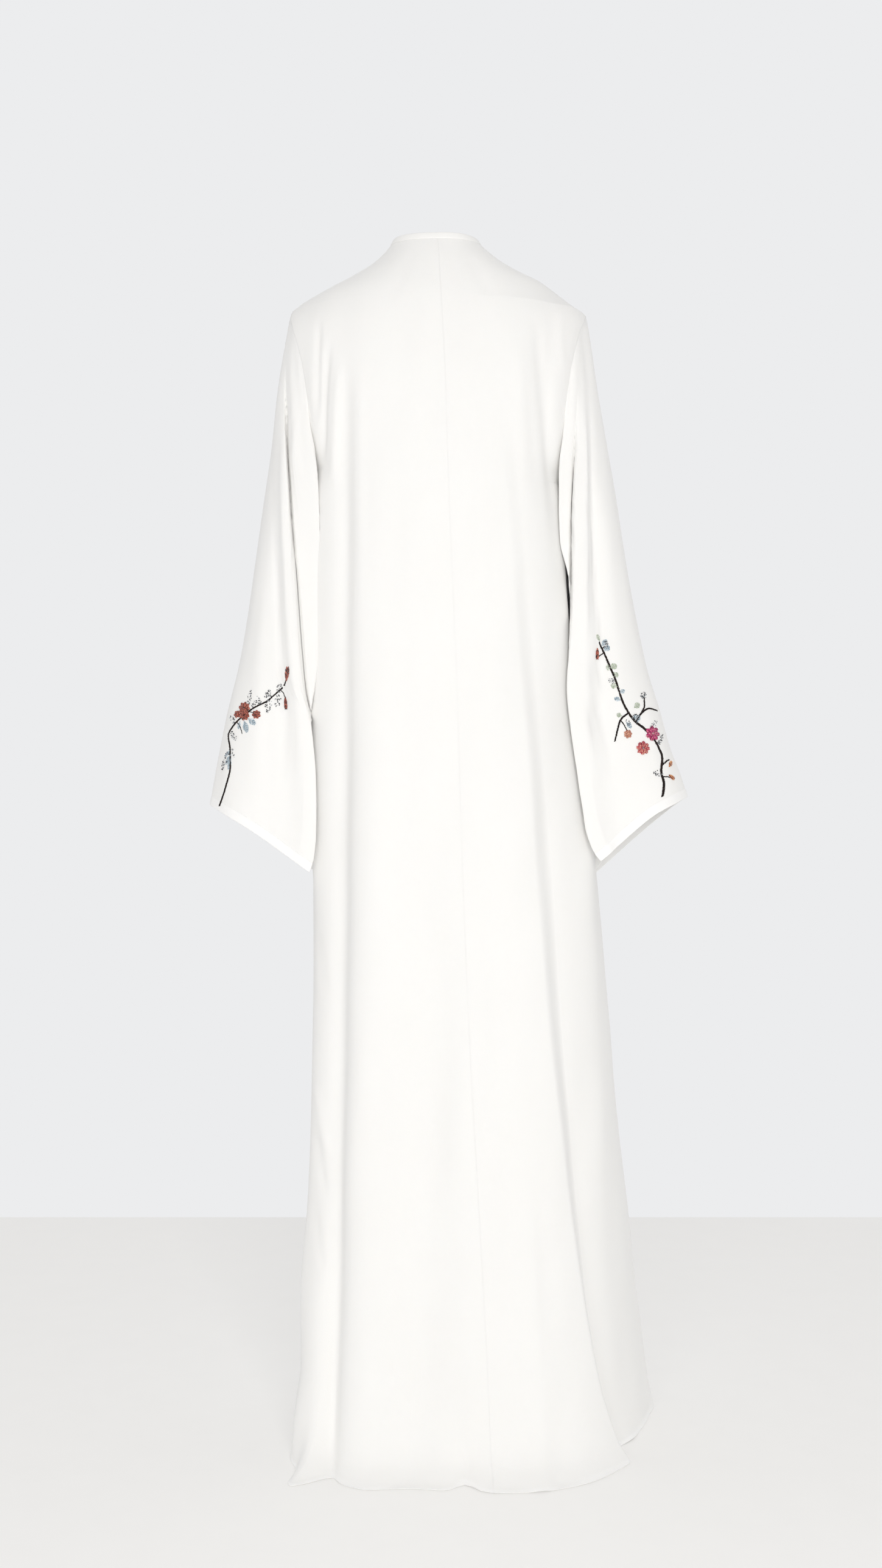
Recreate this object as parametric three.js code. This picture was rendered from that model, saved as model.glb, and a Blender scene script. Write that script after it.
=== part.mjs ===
// A long white crepe abaya, worn on a general figure that is not there: two fronts, two backs with a
// centre seam, two flared sleeves and a narrow neck band. Millimetres, +Z up, the fronts face -Y.
// The origin lies between the shoulder tips, where the wearer carries the garment.
import * as THREE from 'three';

// Cloth and seams.
const CLOTH = 2;
const SEAM_GAP = 0.3;

// Heights above the floor that the hem lies on.
const SHOULDER_HEIGHT = 1400;
const UNDERARM_HEIGHT = 1175;
const TIP_HEIGHT = { left: 1399, right: 1395 };
const NECK_HEIGHT = 1480;

// Neckline: how far its middle hangs below its sides, and the height where that starts to bend the rows.
const NECK_DROP = {
  back: { drop: 7.5, power: 1.4, from: 1400 },
  front: { drop: 82, power: 1.1, from: 1235 },
};
const BAND = { width: 9.5, thickness: 2.6, proud: 0.3, upright: 0.3 };

// The right front laps over the left one.
const LAP = { past: 12, under: 6, ramp: 34 };

const SIGN = { left: 1, right: -1 };

// A smooth curve through value rows that never overshoots between two of them.
function monotoneCurve(keys, values) {
  const slopes = [];
  for (let i = 0; i < keys.length - 1; i += 1) {
    slopes.push((values[i + 1] - values[i]) / (keys[i + 1] - keys[i]));
  }
  const tangents = keys.map((_, i) => {
    if (i === 0) return slopes[0];
    if (i === keys.length - 1) return slopes[i - 1];
    const [before, after] = [slopes[i - 1], slopes[i]];
    return before * after <= 0 ? 0 : (2 * before * after) / (before + after);
  });
  return (key) => {
    const last = keys.length - 1;
    if (key <= keys[0]) return values[0];
    if (key >= keys[last]) return values[last];
    let i = 0;
    while (key > keys[i + 1]) i += 1;
    const span = keys[i + 1] - keys[i];
    const t = (key - keys[i]) / span;
    const [t2, t3] = [t * t, t * t * t];
    return values[i] * (2 * t3 - 3 * t2 + 1) + tangents[i] * span * (t3 - 2 * t2 + t)
      + values[i + 1] * (3 * t2 - 2 * t3) + tangents[i + 1] * span * (t3 - t2);
  };
}

// A table with named columns: the first column is the key, each other one becomes a smooth lookup.
function table(columns, rows) {
  const keys = rows.map((row) => row[0]);
  const lookup = {};
  columns.slice(1).forEach((name, index) => {
    lookup[name] = monotoneCurve(keys, rows.map((row) => row[index + 1]));
  });
  return lookup;
}

const clamp01 = (value) => Math.min(1, Math.max(0, value));
const lerp = (a, b, t) => a + (b - a) * t;
const smoothstep = (from, to, value) => {
  const t = clamp01((value - from) / (to - from));
  return t * t * (3 - 2 * t);
};
const bell = (distance, width) => Math.exp(-((distance / width) ** 2));

// Profile of the body: back and front depth on the centre lines, where those lines run, the depth at
// which each side is widest, and how square the section is across and in depth.
const PROFILE = table(
  ['height', 'back', 'front', 'backCentre', 'frontCentre', 'leftDepth', 'rightDepth', 'across', 'deep'],
  [
    [0, 200, -178, -60, -10, 100, -81, 2.6, 2.0],
    [5, 187, -173, -60, -10, 99, -80, 2.6, 2.0],
    [14, 172, -169, -59, -10, 98, -79, 2.6, 2.0],
    [30, 160, -165, -58, -10, 95, -78, 2.6, 2.0],
    [55, 152, -161, -57, -9, 88, -76, 2.6, 2.0],
    [150, 142, -155, -53, -8, 58, -66, 2.5, 2.0],
    [300, 134, -148, -45, -7, 28, -50, 2.5, 2.05],
    [500, 127, -140, -34, -5, 9, -30, 2.6, 2.2],
    [720, 122, -133, -25, -3, 0, -14, 2.65, 2.4],
    [920, 118, -128, -19, -2, 0, -4, 2.7, 2.7],
    [1145, 113, -125, -10, 0, 0, 0, 2.7, 2.9],
    [1175, 112, -124, -9, 0, 0, 0, 2.7, 2.9],
    [1200, 111, -123, -8, 0, 0, 0, 2.6, 2.65],
    [1230, 110, -122, -7, 0, 0, 0, 2.5, 2.4],
    [1300, 107, -117, -5, 0, 0, 0, 2.4, 2.2],
    [1360, 101, -106, -2, 0, 0, 0, 2.3, 1.9],
    [1399, 94, -95, 0, 1, 0, 0, 2.2, 1.65],
    [1440, 80, -78, 2, 2, 0, 0, 2.1, 1.7],
    [1466, 68, -65, 3, 3, 0, 0, 2.1, 1.85],
    [1480, 61, -58, 4, 4, 0, 0, 2.1, 2.0],
  ],
);

// How far each side reaches from the middle below the underarm, and along the shoulder seam above
// the shoulder tip.
const SIDE_REACH = {
  left: {
    below: table(['height', 'reach'], [
      [0, 180], [40, 177], [107, 169], [162, 170], [300, 164], [449, 161], [720, 159.5],
      [900, 158.5], [1010, 158], [1145, 157.5], [1175, 157],
    ]),
    above: table(['height', 'reach'], [
      [1399, 187.5], [1410, 174], [1435, 126], [1453.7, 93], [1467.5, 76], [1480, 65],
    ]),
  },
  right: {
    below: table(['height', 'reach'], [
      [0, 273], [100, 254], [260, 234], [503, 210], [714, 191], [751, 185.5], [791, 179],
      [831, 172], [877, 164], [920, 158.5], [1010, 155.5], [1090, 154], [1145, 149.5], [1175, 147],
    ]),
    above: table(['height', 'reach'], [
      [1395, 183], [1401, 172], [1430, 135], [1443.7, 107.6], [1457, 82], [1472, 60], [1480, 52.5],
    ]),
  },
};

// Armhole loop from the underarm (0) to the shoulder tip (1).
const ARMHOLE_STEPS = [0, 0.036, 0.11, 0.21, 0.335, 0.478, 0.625, 0.76, 0.87, 0.95, 1];
const ARMHOLE = {
  left: table(['share', 'reach', 'back', 'front'], [
    [0, 157, 0, 0], [0.036, 157, 31, 29], [0.11, 157, 47, 47], [0.21, 157.5, 57, 59],
    [0.335, 160, 62, 65], [0.478, 164, 63.5, 68], [0.625, 169, 61, 66], [0.76, 176, 54, 59],
    [0.87, 183.5, 42, 46], [0.95, 187, 26, 28], [1, 187.5, 0, 0],
  ]),
  right: table(['share', 'reach', 'back', 'front'], [
    [0, 147, 0, 0], [0.036, 147, 31, 29], [0.11, 147.2, 47, 47], [0.21, 148, 57, 59],
    [0.335, 150, 62, 65], [0.478, 153.5, 63.5, 68], [0.625, 158.5, 61, 66], [0.76, 165, 54, 59],
    [0.87, 172, 42, 46], [0.95, 179, 26, 28], [1, 183, 0, 0],
  ]),
};

// Folds of the body. A bell pushes the cloth out (or in, with a negative depth) along a line; a step
// drops everything from the line to the side. Lean pulls the line towards the side.
const FOLD_COLUMNS = ['height', 'line', 'depth', 'width', 'lean'];
const FOLDS = {
  backLeft: {
    valley: { shape: 'bell', rows: table(FOLD_COLUMNS, [
      [0, 136, -22, 12, 0], [60, 133, -20, 12, 0], [230, 129, -17, 12, 0], [520, 124, -15, 12, 0],
      [820, 119, -13, 11, 0], [1090, 117, -11, 11, 0], [1250, 116, -7, 10, 0],
      [1340, 115, 0, 10, 0], [1399, 110, 0, 10, 0], [1440, 80, 0, 10, 0], [1480, 45, 0, 10, 0],
    ]) },
    crest: { shape: 'bell', rows: table(FOLD_COLUMNS, [
      [0, 92, 7, 26, 0], [400, 92, 7, 26, 0], [900, 88, 4, 24, 0], [1200, 88, 0, 24, 0],
    ]) },
    curl: { shape: 'bell', rows: table(FOLD_COLUMNS, [
      [0, 147, 44, 13, 4], [8, 147, 30, 13, 3], [22, 147, 14, 13, 2], [50, 147, 3, 13, 0],
      [90, 147, 0, 13, 0],
    ]) },
    hollow: { shape: 'bell', rows: table(FOLD_COLUMNS, [
      [0, 22, -6, 42, 0], [300, 22, -8, 40, 0], [700, 26, -5, 36, 0], [1000, 30, 0, 36, 0],
    ]) },
  },
  backRight: {
    ridge: { shape: 'step', rows: table(FOLD_COLUMNS, [
      [0, -212, 46, 22, 22], [20, -202, 42, 22, 16], [96, -181, 38, 21, 10], [221, -161, 32, 20, 7],
      [346, -146, 27, 18, 6], [522, -126, 21, 17, 5], [719, -111, 16, 16, 4], [872, -100, 12, 15, 3],
      [1025, -88, 8, 14, 2], [1178, -77, 3, 13, 0], [1260, -72, 0, 13, 0], [1399, -62, 0, 13, 0],
      [1480, -30, 0, 13, 0],
    ]) },
    wave: { shape: 'bell', rows: table(FOLD_COLUMNS, [
      [0, -28, -20, 15, 0], [12, -28, -13, 15, 0], [35, -28, -4, 15, 0], [70, -28, 0, 15, 0],
    ]) },
    armholeCrease: { shape: 'bell', rows: table(FOLD_COLUMNS, [
      [1000, -150, 0, 8, 0], [1091, -144, -4, 8, 0], [1178, -135, -5, 8, 0], [1315, -121, -4, 8, 0],
      [1375, -116, 0, 8, 0],
    ]) },
  },
  frontLeft: {
    inner: { shape: 'bell', rows: table(FOLD_COLUMNS, [
      [0, 66, -16, 18, 0], [400, 62, -13, 17, 0], [850, 58, -8, 16, 0], [1180, 56, 0, 16, 0],
    ]) },
    outer: { shape: 'bell', rows: table(FOLD_COLUMNS, [
      [0, 122, 12, 20, 0], [400, 114, 10, 18, 0], [850, 108, 6, 16, 0], [1120, 106, 0, 16, 0],
    ]) },
  },
  frontRight: {
    inner: { shape: 'bell', rows: table(FOLD_COLUMNS, [
      [0, -88, -18, 20, 0], [400, -78, -14, 18, 0], [850, -68, -8, 16, 0], [1200, -62, 0, 16, 0],
    ]) },
    outer: { shape: 'bell', rows: table(FOLD_COLUMNS, [
      [0, -168, 15, 24, 0], [400, -140, 12, 21, 0], [850, -114, 6, 17, 0], [1100, -106, 0, 16, 0],
    ]) },
  },
};

// Shape of a step, in shares of its width, and how fast the drop fades towards the side.
const STEP = { start: 0.15, leanBack: 0.3, leanWidth: 0.75, fade: 0.8 };

// Folds fade out over the last stretch before the side seam.
const FOLD_FADE_FROM = 0.86;

// Rows of the body panels: up to the underarm in heights, then shares of armhole and shoulder seam.
const LOWER_ROWS = [
  0, 5, 14, 30, 55, 90, 150, 230, 320, 420, 520, 620, 720, 820, 920, 1010, 1090, 1145,
];
const SHOULDER_STEPS = [0.13, 0.3, 0.47, 0.64, 0.82, 1];
const FIRST_ARMHOLE_ROW = LOWER_ROWS.length;
const TIP_ROW = FIRST_ARMHOLE_ROW + ARMHOLE_STEPS.length - 1;
const ROW_COUNT = TIP_ROW + 1 + SHOULDER_STEPS.length;

// Columns of a back panel from the centre seam to the side, gathered round its main fold.
const BACK_COLUMNS = {
  left: { fold: FOLDS.backLeft.valley, offsets: [-15, -7, 0, 7, 15], counts: [6, 1, 1, 1, 1, 4] },
  right: { fold: FOLDS.backRight.ridge, offsets: [-24, -10, -2, 6, 14, 24], counts: [5, 1, 1, 1, 1, 1, 4] },
};
const FRONT_COLUMN_COUNT = 10;

// The gathered columns keep their spacing where the panel reaches this far, and close up above. Their
// heights are read at this share of the way to the side.
const FULL_OFFSET_REACH = 150;
const COLUMN_LEVEL_SHARE = 0.7;

function rowHeight(side, row, share) {
  if (row < FIRST_ARMHOLE_ROW) return LOWER_ROWS[row];
  const heightAt = (tip) => {
    if (row <= TIP_ROW) return lerp(UNDERARM_HEIGHT, tip, ARMHOLE_STEPS[row - FIRST_ARMHOLE_ROW]);
    return lerp(tip, NECK_HEIGHT, SHOULDER_STEPS[row - TIP_ROW - 1]);
  };
  const middle = (TIP_HEIGHT.left + TIP_HEIGHT.right) / 2;
  return lerp(heightAt(middle), heightAt(TIP_HEIGHT[side]), share);
}

// One quarter of the body's section at a height: centre line to side, on the back or the front.
function quarterSection(side, face, height) {
  const sign = SIGN[side];
  const tip = TIP_HEIGHT[side];
  const centre = PROFILE[`${face}Centre`](height);
  const apex = PROFILE[face](height);
  const sideDepth = PROFILE[`${side}Depth`](height);
  const across = PROFILE.across(height);
  const deep = PROFILE.deep(height);
  let reach;
  let edgeDepth = sideDepth;
  if (height <= UNDERARM_HEIGHT) {
    reach = SIDE_REACH[side].below.reach(height);
  } else if (height >= tip) {
    reach = SIDE_REACH[side].above.reach(height);
  } else {
    const share = (height - UNDERARM_HEIGHT) / (tip - UNDERARM_HEIGHT);
    reach = ARMHOLE[side].reach(share);
    edgeDepth = (face === 'back' ? 1 : -1) * ARMHOLE[side][face](share);
  }
  const edgeShare = (edgeDepth - sideDepth) / (apex - sideDepth);
  const lastAngle = Math.acos(clamp01(edgeShare) ** (deep / 2));
  const fullReach = (reach - sign * centre) / Math.sin(lastAngle) ** (2 / across);
  return {
    reach,
    // x at a share of the angle from the centre line (0) to the side (1)
    xAt: (share) => centre + sign * Math.sign(share) * fullReach
      * Math.sin(Math.abs(share) * lastAngle) ** (2 / across),
    shareAt: (x) => {
      const ratio = (sign * (x - centre)) / fullReach;
      return (Math.sign(ratio) * Math.asin(clamp01(Math.abs(ratio)) ** (across / 2))) / lastAngle;
    },
    yAt: (x) => {
      const ratio = clamp01(Math.abs(x - centre) / fullReach);
      return sideDepth + (apex - sideDepth) * (1 - ratio ** across) ** (1 / deep);
    },
    normalAt: (x, y) => {
      const ratio = clamp01(Math.abs(x - centre) / fullReach);
      const depthRatio = clamp01((y - sideDepth) / (apex - sideDepth));
      const normal = new THREE.Vector2(
        (Math.sign(x - centre) * across * ratio ** (across - 1)) / fullReach,
        (deep * depthRatio ** (deep - 1)) / (apex - sideDepth),
      );
      return normal.normalize();
    },
  };
}

function foldShift(fold, side, x, height, reach) {
  const line = fold.rows.line(height);
  const depth = fold.rows.depth(height);
  const width = fold.rows.width(height);
  const lean = fold.rows.lean(height);
  const past = SIGN[side] * (x - line);
  if (fold.shape === 'bell') {
    const amount = bell(past, width);
    return { out: depth * amount, along: lean * amount };
  }
  const left = clamp01((reach - SIGN[side] * x) / (reach - SIGN[side] * line));
  return {
    out: -depth * smoothstep(-STEP.start * width, width, past) * left ** STEP.fade,
    along: lean * bell(past + STEP.leanBack * width, STEP.leanWidth * width),
  };
}

const FOLDS_OF = {
  left: { back: FOLDS.backLeft, front: FOLDS.frontLeft },
  right: { back: FOLDS.backRight, front: FOLDS.frontRight },
};

// A point of the body's outer surface. Share runs from 0 on the centre line to 1 at the side.
function bodyPoint(side, face, row, share) {
  const across = Math.abs(share);
  const level = rowHeight(side, row, across);
  const neck = NECK_DROP[face];
  const drop = neck.drop * Math.cos((clamp01(across) * Math.PI) / 2) ** neck.power;
  const height = level - drop * smoothstep(neck.from, NECK_HEIGHT, level);
  const x = quarterSection(side, face, level).xAt(share);
  const section = quarterSection(side, face, height);
  const y = section.yAt(x);
  const normal = section.normalAt(x, y);
  const edgeFade = 1 - smoothstep(FOLD_FADE_FROM, 1, across);
  let out = 0;
  let along = 0;
  for (const fold of Object.values(FOLDS_OF[side][face])) {
    const shift = foldShift(fold, side, x, height, section.reach);
    out += shift.out * edgeFade;
    along += shift.along * edgeFade;
  }
  if (face === 'front' && side === 'left') {
    out -= LAP.under * (1 - smoothstep(0, LAP.ramp, x - PROFILE.frontCentre(height)));
  }
  const sideways = SIGN[side] * along;
  const tangent = new THREE.Vector2(Math.abs(normal.y), -Math.sign(normal.y) * normal.x * SIGN[side]);
  return new THREE.Vector3(
    x + normal.x * out + tangent.x * sideways,
    y + normal.y * out + tangent.y * Math.abs(sideways) * Math.sign(along || 1),
    height,
  );
}

// Shares of the columns of a back panel at one row, centre seam to side.
function backShares(side, row) {
  const { fold, offsets, counts } = BACK_COLUMNS[side];
  const level = rowHeight(side, row, COLUMN_LEVEL_SHARE);
  const section = quarterSection(side, 'back', level);
  const line = fold.rows.line(level);
  const scale = Math.min(1, section.reach / FULL_OFFSET_REACH);
  const stops = [0, ...offsets.map((offset) => section.shareAt(line + SIGN[side] * offset * scale)), 1];
  const shares = [0];
  counts.forEach((count, i) => {
    for (let k = 1; k <= count; k += 1) shares.push(lerp(stops[i], stops[i + 1], k / count));
  });
  return shares;
}

function frontShares(side, row) {
  const level = rowHeight(side, row, 0);
  const section = quarterSection(side, 'front', level);
  const edge = section.shareAt(PROFILE.frontCentre(level) - SIGN[side] * LAP.past);
  return Array.from({ length: FRONT_COLUMN_COUNT + 1 }, (_, k) => lerp(edge, 1, k / FRONT_COLUMN_COUNT));
}

function panelGrid(side, face, sharesAt) {
  return Array.from({ length: ROW_COUNT }, (_, row) => (
    sharesAt(side, row).map((share) => bodyPoint(side, face, row, share))
  ));
}

// Unit normals of a grid of points, from the faces round each point. Closed grids wrap round.
function gridNormals(grid, outwardHint, closed = false) {
  const rows = grid.length;
  const columns = grid[0].length;
  const normals = grid.map((line) => line.map(() => new THREE.Vector3()));
  const lastColumn = closed ? columns : columns - 1;
  for (let r = 0; r < rows - 1; r += 1) {
    for (let c = 0; c < lastColumn; c += 1) {
      const next = (c + 1) % columns;
      const up = grid[r + 1][c].clone().sub(grid[r][next]);
      const across = grid[r + 1][next].clone().sub(grid[r][c]);
      const face = across.cross(up);
      for (const [i, j] of [[r, c], [r, next], [r + 1, c], [r + 1, next]]) normals[i][j].add(face);
    }
  }
  for (const [r, line] of normals.entries()) {
    for (const [c, normal] of line.entries()) {
      normal.normalize();
      if (normal.dot(outwardHint(grid[r][c])) < 0) normal.negate();
    }
  }
  return normals;
}

// Roughly outwards from a body panel, to tell the two sides of a face apart.
const OUTWARD_DEPTH = 90;
const OUTWARD_RISE = 30;
const bodyOutward = (face) => (point) => (
  new THREE.Vector3(point.x, face === 'back' ? OUTWARD_DEPTH : -OUTWARD_DEPTH, OUTWARD_RISE)
);

// The armhole loop's own outward direction, square to the seam and across its opening.
function armholeDirections(side) {
  const loop = (face) => ARMHOLE_STEPS.map((share) => new THREE.Vector2(
    (face === 'back' ? 1 : -1) * ARMHOLE[side][face](share),
    lerp(UNDERARM_HEIGHT, TIP_HEIGHT[side], share),
  ));
  const halves = { back: loop('back'), front: loop('front') };
  const direction = (face, step) => {
    const other = face === 'back' ? 'front' : 'back';
    const last = ARMHOLE_STEPS.length - 1;
    const before = step === 0 ? halves[other][1] : halves[face][step - 1];
    const after = step === last ? halves[other][last - 1] : halves[face][step + 1];
    const run = after.clone().sub(before);
    const turn = face === 'back' ? 1 : -1;
    return new THREE.Vector3(0, turn * run.y, -turn * run.x).normalize();
  };
  return {
    back: ARMHOLE_STEPS.map((_, step) => direction('back', step)),
    front: ARMHOLE_STEPS.map((_, step) => direction('front', step)),
  };
}

// Offsets an outer grid inwards to its inner face, and lifts the hem so that neither dips below 0.
function innerGrid(outer, normals, thickness) {
  return outer.map((line, r) => line.map((point, c) => {
    const normal = normals[r][c];
    point.z = Math.max(point.z, thickness * Math.max(0, normal.z));
    const inner = point.clone().addScaledVector(normal, -thickness);
    inner.z = Math.max(inner.z, 0);
    return inner;
  }));
}

// A closed wall between an outer and an inner grid of points.
function wallGeometry(outer, inner, closed = false) {
  const rows = outer.length;
  const columns = outer[0].length;
  const positions = [];
  for (const grid of [outer, inner]) {
    for (const line of grid) for (const point of line) positions.push(point.x, point.y, point.z);
  }
  const at = (layer, r, c) => layer * rows * columns + r * columns + (c % columns);
  const faces = [];
  const lastColumn = closed ? columns : columns - 1;
  for (let r = 0; r < rows - 1; r += 1) {
    for (let c = 0; c < lastColumn; c += 1) {
      const next = (c + 1) % columns;
      const rising = outer[r][c].distanceToSquared(outer[r + 1][next]);
      const falling = outer[r][next].distanceToSquared(outer[r + 1][c]);
      for (const layer of [0, 1]) {
        const [a, b] = [at(layer, r, c), at(layer, r, next)];
        const [d, e] = [at(layer, r + 1, c), at(layer, r + 1, next)];
        const pair = rising <= falling ? [[a, b, e], [a, e, d]] : [[a, b, d], [b, e, d]];
        for (const [i, j, k] of pair) faces.push(layer === 0 ? [i, j, k] : [i, k, j]);
      }
    }
  }
  const rim = (r0, c0, r1, c1) => {
    const [a, b] = [at(0, r0, c0), at(0, r1, c1)];
    const [d, e] = [at(1, r0, c0), at(1, r1, c1)];
    faces.push([b, a, d], [b, d, e]);
  };
  for (let c = 0; c < lastColumn; c += 1) {
    rim(0, c, 0, c + 1);
    rim(rows - 1, c + 1, rows - 1, c);
  }
  if (!closed) {
    for (let r = 0; r < rows - 1; r += 1) {
      rim(r + 1, 0, r, 0);
      rim(r, columns - 1, r + 1, columns - 1);
    }
  }
  const corner = (index) => new THREE.Vector3().fromArray(positions, index * 3);
  const volume = faces.reduce((sum, [i, j, k]) => sum + corner(i).dot(corner(j).cross(corner(k))), 0);
  const ordered = volume > 0 ? faces : faces.map(([i, j, k]) => [i, k, j]);
  const geometry = new THREE.BufferGeometry();
  geometry.setAttribute('position', new THREE.Float32BufferAttribute(positions, 3));
  geometry.setIndex(ordered.flat());
  geometry.computeVertexNormals();
  return geometry;
}

const shiftLine = (lines, column, offset) => {
  for (const line of lines) line[column].add(offset);
};

// The four body panels. Seam points are shared first, so the walls meet square, then drawn apart.
function bodyPanels() {
  const sides = {};
  for (const side of ['left', 'right']) {
    const back = panelGrid(side, 'back', backShares);
    const front = panelGrid(side, 'front', frontShares);
    sides[side] = { back, front };
  }
  const seamSpan = sides.right.back[0].length - 1;
  const wholeBack = sides.right.back.map((line, r) => (
    [...line].reverse().concat(sides.left.back[r].slice(1))
  ));
  const wholeNormals = gridNormals(wholeBack, bodyOutward('back'));
  const normals = {
    right: { back: wholeNormals.map((line) => line.slice(0, seamSpan + 1).reverse()) },
    left: { back: wholeNormals.map((line) => line.slice(seamSpan)) },
  };
  const panels = {};
  for (const side of ['left', 'right']) {
    normals[side].front = gridNormals(sides[side].front, bodyOutward('front'));
    const armhole = armholeDirections(side);
    for (let row = 0; row < ROW_COUNT; row += 1) {
      const back = normals[side].back[row];
      const front = normals[side].front[row];
      const step = row - FIRST_ARMHOLE_ROW;
      if (step >= 0 && row <= TIP_ROW) {
        back[back.length - 1].copy(armhole.back[step]);
        front[front.length - 1].copy(armhole.front[step]);
      } else {
        const shared = back[back.length - 1].clone().add(front[front.length - 1]);
        shared.y = 0;
        shared.normalize();
        back[back.length - 1].copy(shared);
        front[front.length - 1].copy(shared);
      }
    }
    for (const face of ['back', 'front']) {
      const outer = sides[side][face].map((line) => line.map((point) => point.clone()));
      const inner = innerGrid(outer, normals[side][face], CLOTH);
      const seam = outer[0].length - 1;
      const apart = new THREE.Vector3(0, ((face === 'back' ? 1 : -1) * SEAM_GAP) / 2, 0);
      const grids = [...outer, ...inner];
      shiftLine(grids, seam, apart);
      if (face === 'back') shiftLine(grids, 0, new THREE.Vector3((SIGN[side] * SEAM_GAP) / 2, 0, 0));
      panels[`${face}_${side}`] = { outer, inner, normals: normals[side][face] };
    }
  }
  return panels;
}

// The narrow band that binds the neckline, from the lapping right front round to the left front.
function neckBand(panels) {
  const top = ROW_COUNT - 1;
  const stations = [];
  const addPanel = (name, from, to) => {
    const { outer, normals } = panels[name];
    const step = from < to ? 1 : -1;
    for (let c = from; c !== to + step; c += step) {
      const point = outer[top][c];
      const rise = point.clone().sub(outer[top - 1][c]).normalize();
      const up = rise.lerp(new THREE.Vector3(0, 0, 1), BAND.upright).normalize();
      stations.push({ point, up, normal: normals[top][c] });
    }
  };
  const last = (name) => panels[name].outer[0].length - 1;
  addPanel('front_right', 0, last('front_right') - 1);
  addPanel('back_right', last('back_right'), 1);
  addPanel('back_left', 0, last('back_left'));
  addPanel('front_left', last('front_left') - 1, 0);
  const outer = [SEAM_GAP, BAND.width / 2, BAND.width].map((rise) => stations.map(({ point, up, normal }) => (
    point.clone().addScaledVector(up, rise).addScaledVector(normal, BAND.proud)
  )));
  const normals = outer.map(() => stations.map(({ normal }) => normal));
  return wallGeometry(outer, innerGrid(outer, normals, BAND.thickness));
}

// Sleeves. Outer and inner lines run from the shoulder tip and the underarm down to the cuff.
const SLEEVES = {
  left: {
    outer: table(['height', 'reach'], [
      [781, 290.4], [886, 270.5], [966, 252], [1089, 233.6], [1236, 212], [1310, 202.8], [1399, 187.5],
    ]),
    inner: table(['height', 'reach'], [
      [706, 174], [722, 167], [748, 164.5], [792, 163.5], [898, 164], [1027, 163.5], [1140, 164.5],
      [1158, 163.5], [1168, 160.5], [1175, 157],
    ]),
    cuff: { outer: 781, inner: 706, back: 7, front: -4 },
    fold: table(['height', 'line', 'depth', 'width'], [
      [700, 176, 4, 10], [766, 177, 6, 10], [883, 179, 9, 10], [961, 181, 11, 10], [1021, 185, 12, 10],
      [1138, 192, 12, 9], [1254, 195, 9, 9], [1340, 195, 0, 9],
    ]),
  },
  right: {
    outer: table(['height', 'reach'], [
      [796, 309.6], [818, 301.6], [850.6, 288], [898, 275], [951.5, 259], [1027, 243.6],
      [1107, 229.7], [1224.5, 211], [1339, 192], [1395, 183],
    ]),
    inner: table(['height', 'reach'], [
      [722, 206], [734, 196], [751, 190.5], [791, 184], [831, 177], [877, 169], [951, 162.5],
      [1107, 161], [1140, 158], [1160, 154], [1168, 151], [1175, 147],
    ]),
    cuff: { outer: 796, inner: 722, back: 9, front: -16 },
    fold: table(['height', 'line', 'depth', 'width'], [
      [700, -206, 5, 10], [760, -196, 7, 10], [844, -184, 9, 10], [961, -177, 11, 10],
      [1125, -173, 11, 9], [1280, -175, 8, 9], [1350, -175, 0, 9],
    ]),
  },
};
const SLEEVE_DEPTH = table(['share', 'back', 'front'], [
  [0, 63, 67], [0.2, 62, 66], [0.5, 62, 68], [0.8, 66, 74], [1, 68, 78],
]);
const SLEEVE_RINGS = [
  0, 0.02, 0.05, 0.1, 0.16, 0.23, 0.31, 0.39, 0.47, 0.55, 0.63, 0.71, 0.79, 0.86, 0.92, 0.96, 1,
];

// The outer line runs ahead of the inner one, and the armhole's shape is kept over the first stretch.
const OUTER_LEAD = 0.75;
const ARMHOLE_REACH = 0.35;
const CUFF_POWER = 3;
const HALVINGS = 20;

// The columns that follow a sleeve's long fold: its own column, how far apart its neighbours are, and
// the nearest that it comes to the outer and the inner line.
const SLEEVE_FOLD = { column: 12, spread: 0.15, nearest: 0.55, farthest: 2.55, gathered: 0.12 };

// The fold rises out of the cloth between these shares of the sleeve, and is flatter near its lines.
const FOLD_RISE = { from: 0.02, to: 0.16, power: 0.6 };

// Half of the cuff's slant is carried by the half of the hem nearer to the body.
const CUFF_SKEW = 0.5;

// Steps round the sleeve: the armhole's own points, with one more between each two on the back.
function sleeveSteps() {
  const last = ARMHOLE_STEPS.length - 1;
  const steps = [];
  for (let i = last; i > 0; i -= 1) {
    steps.push({ face: 'back', from: i, to: i, mix: 0 });
    steps.push({ face: 'back', from: i, to: i - 1, mix: 0.5 });
  }
  for (let i = 0; i < last; i += 1) steps.push({ face: 'front', from: i, to: i, mix: 0 });
  return steps;
}

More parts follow.
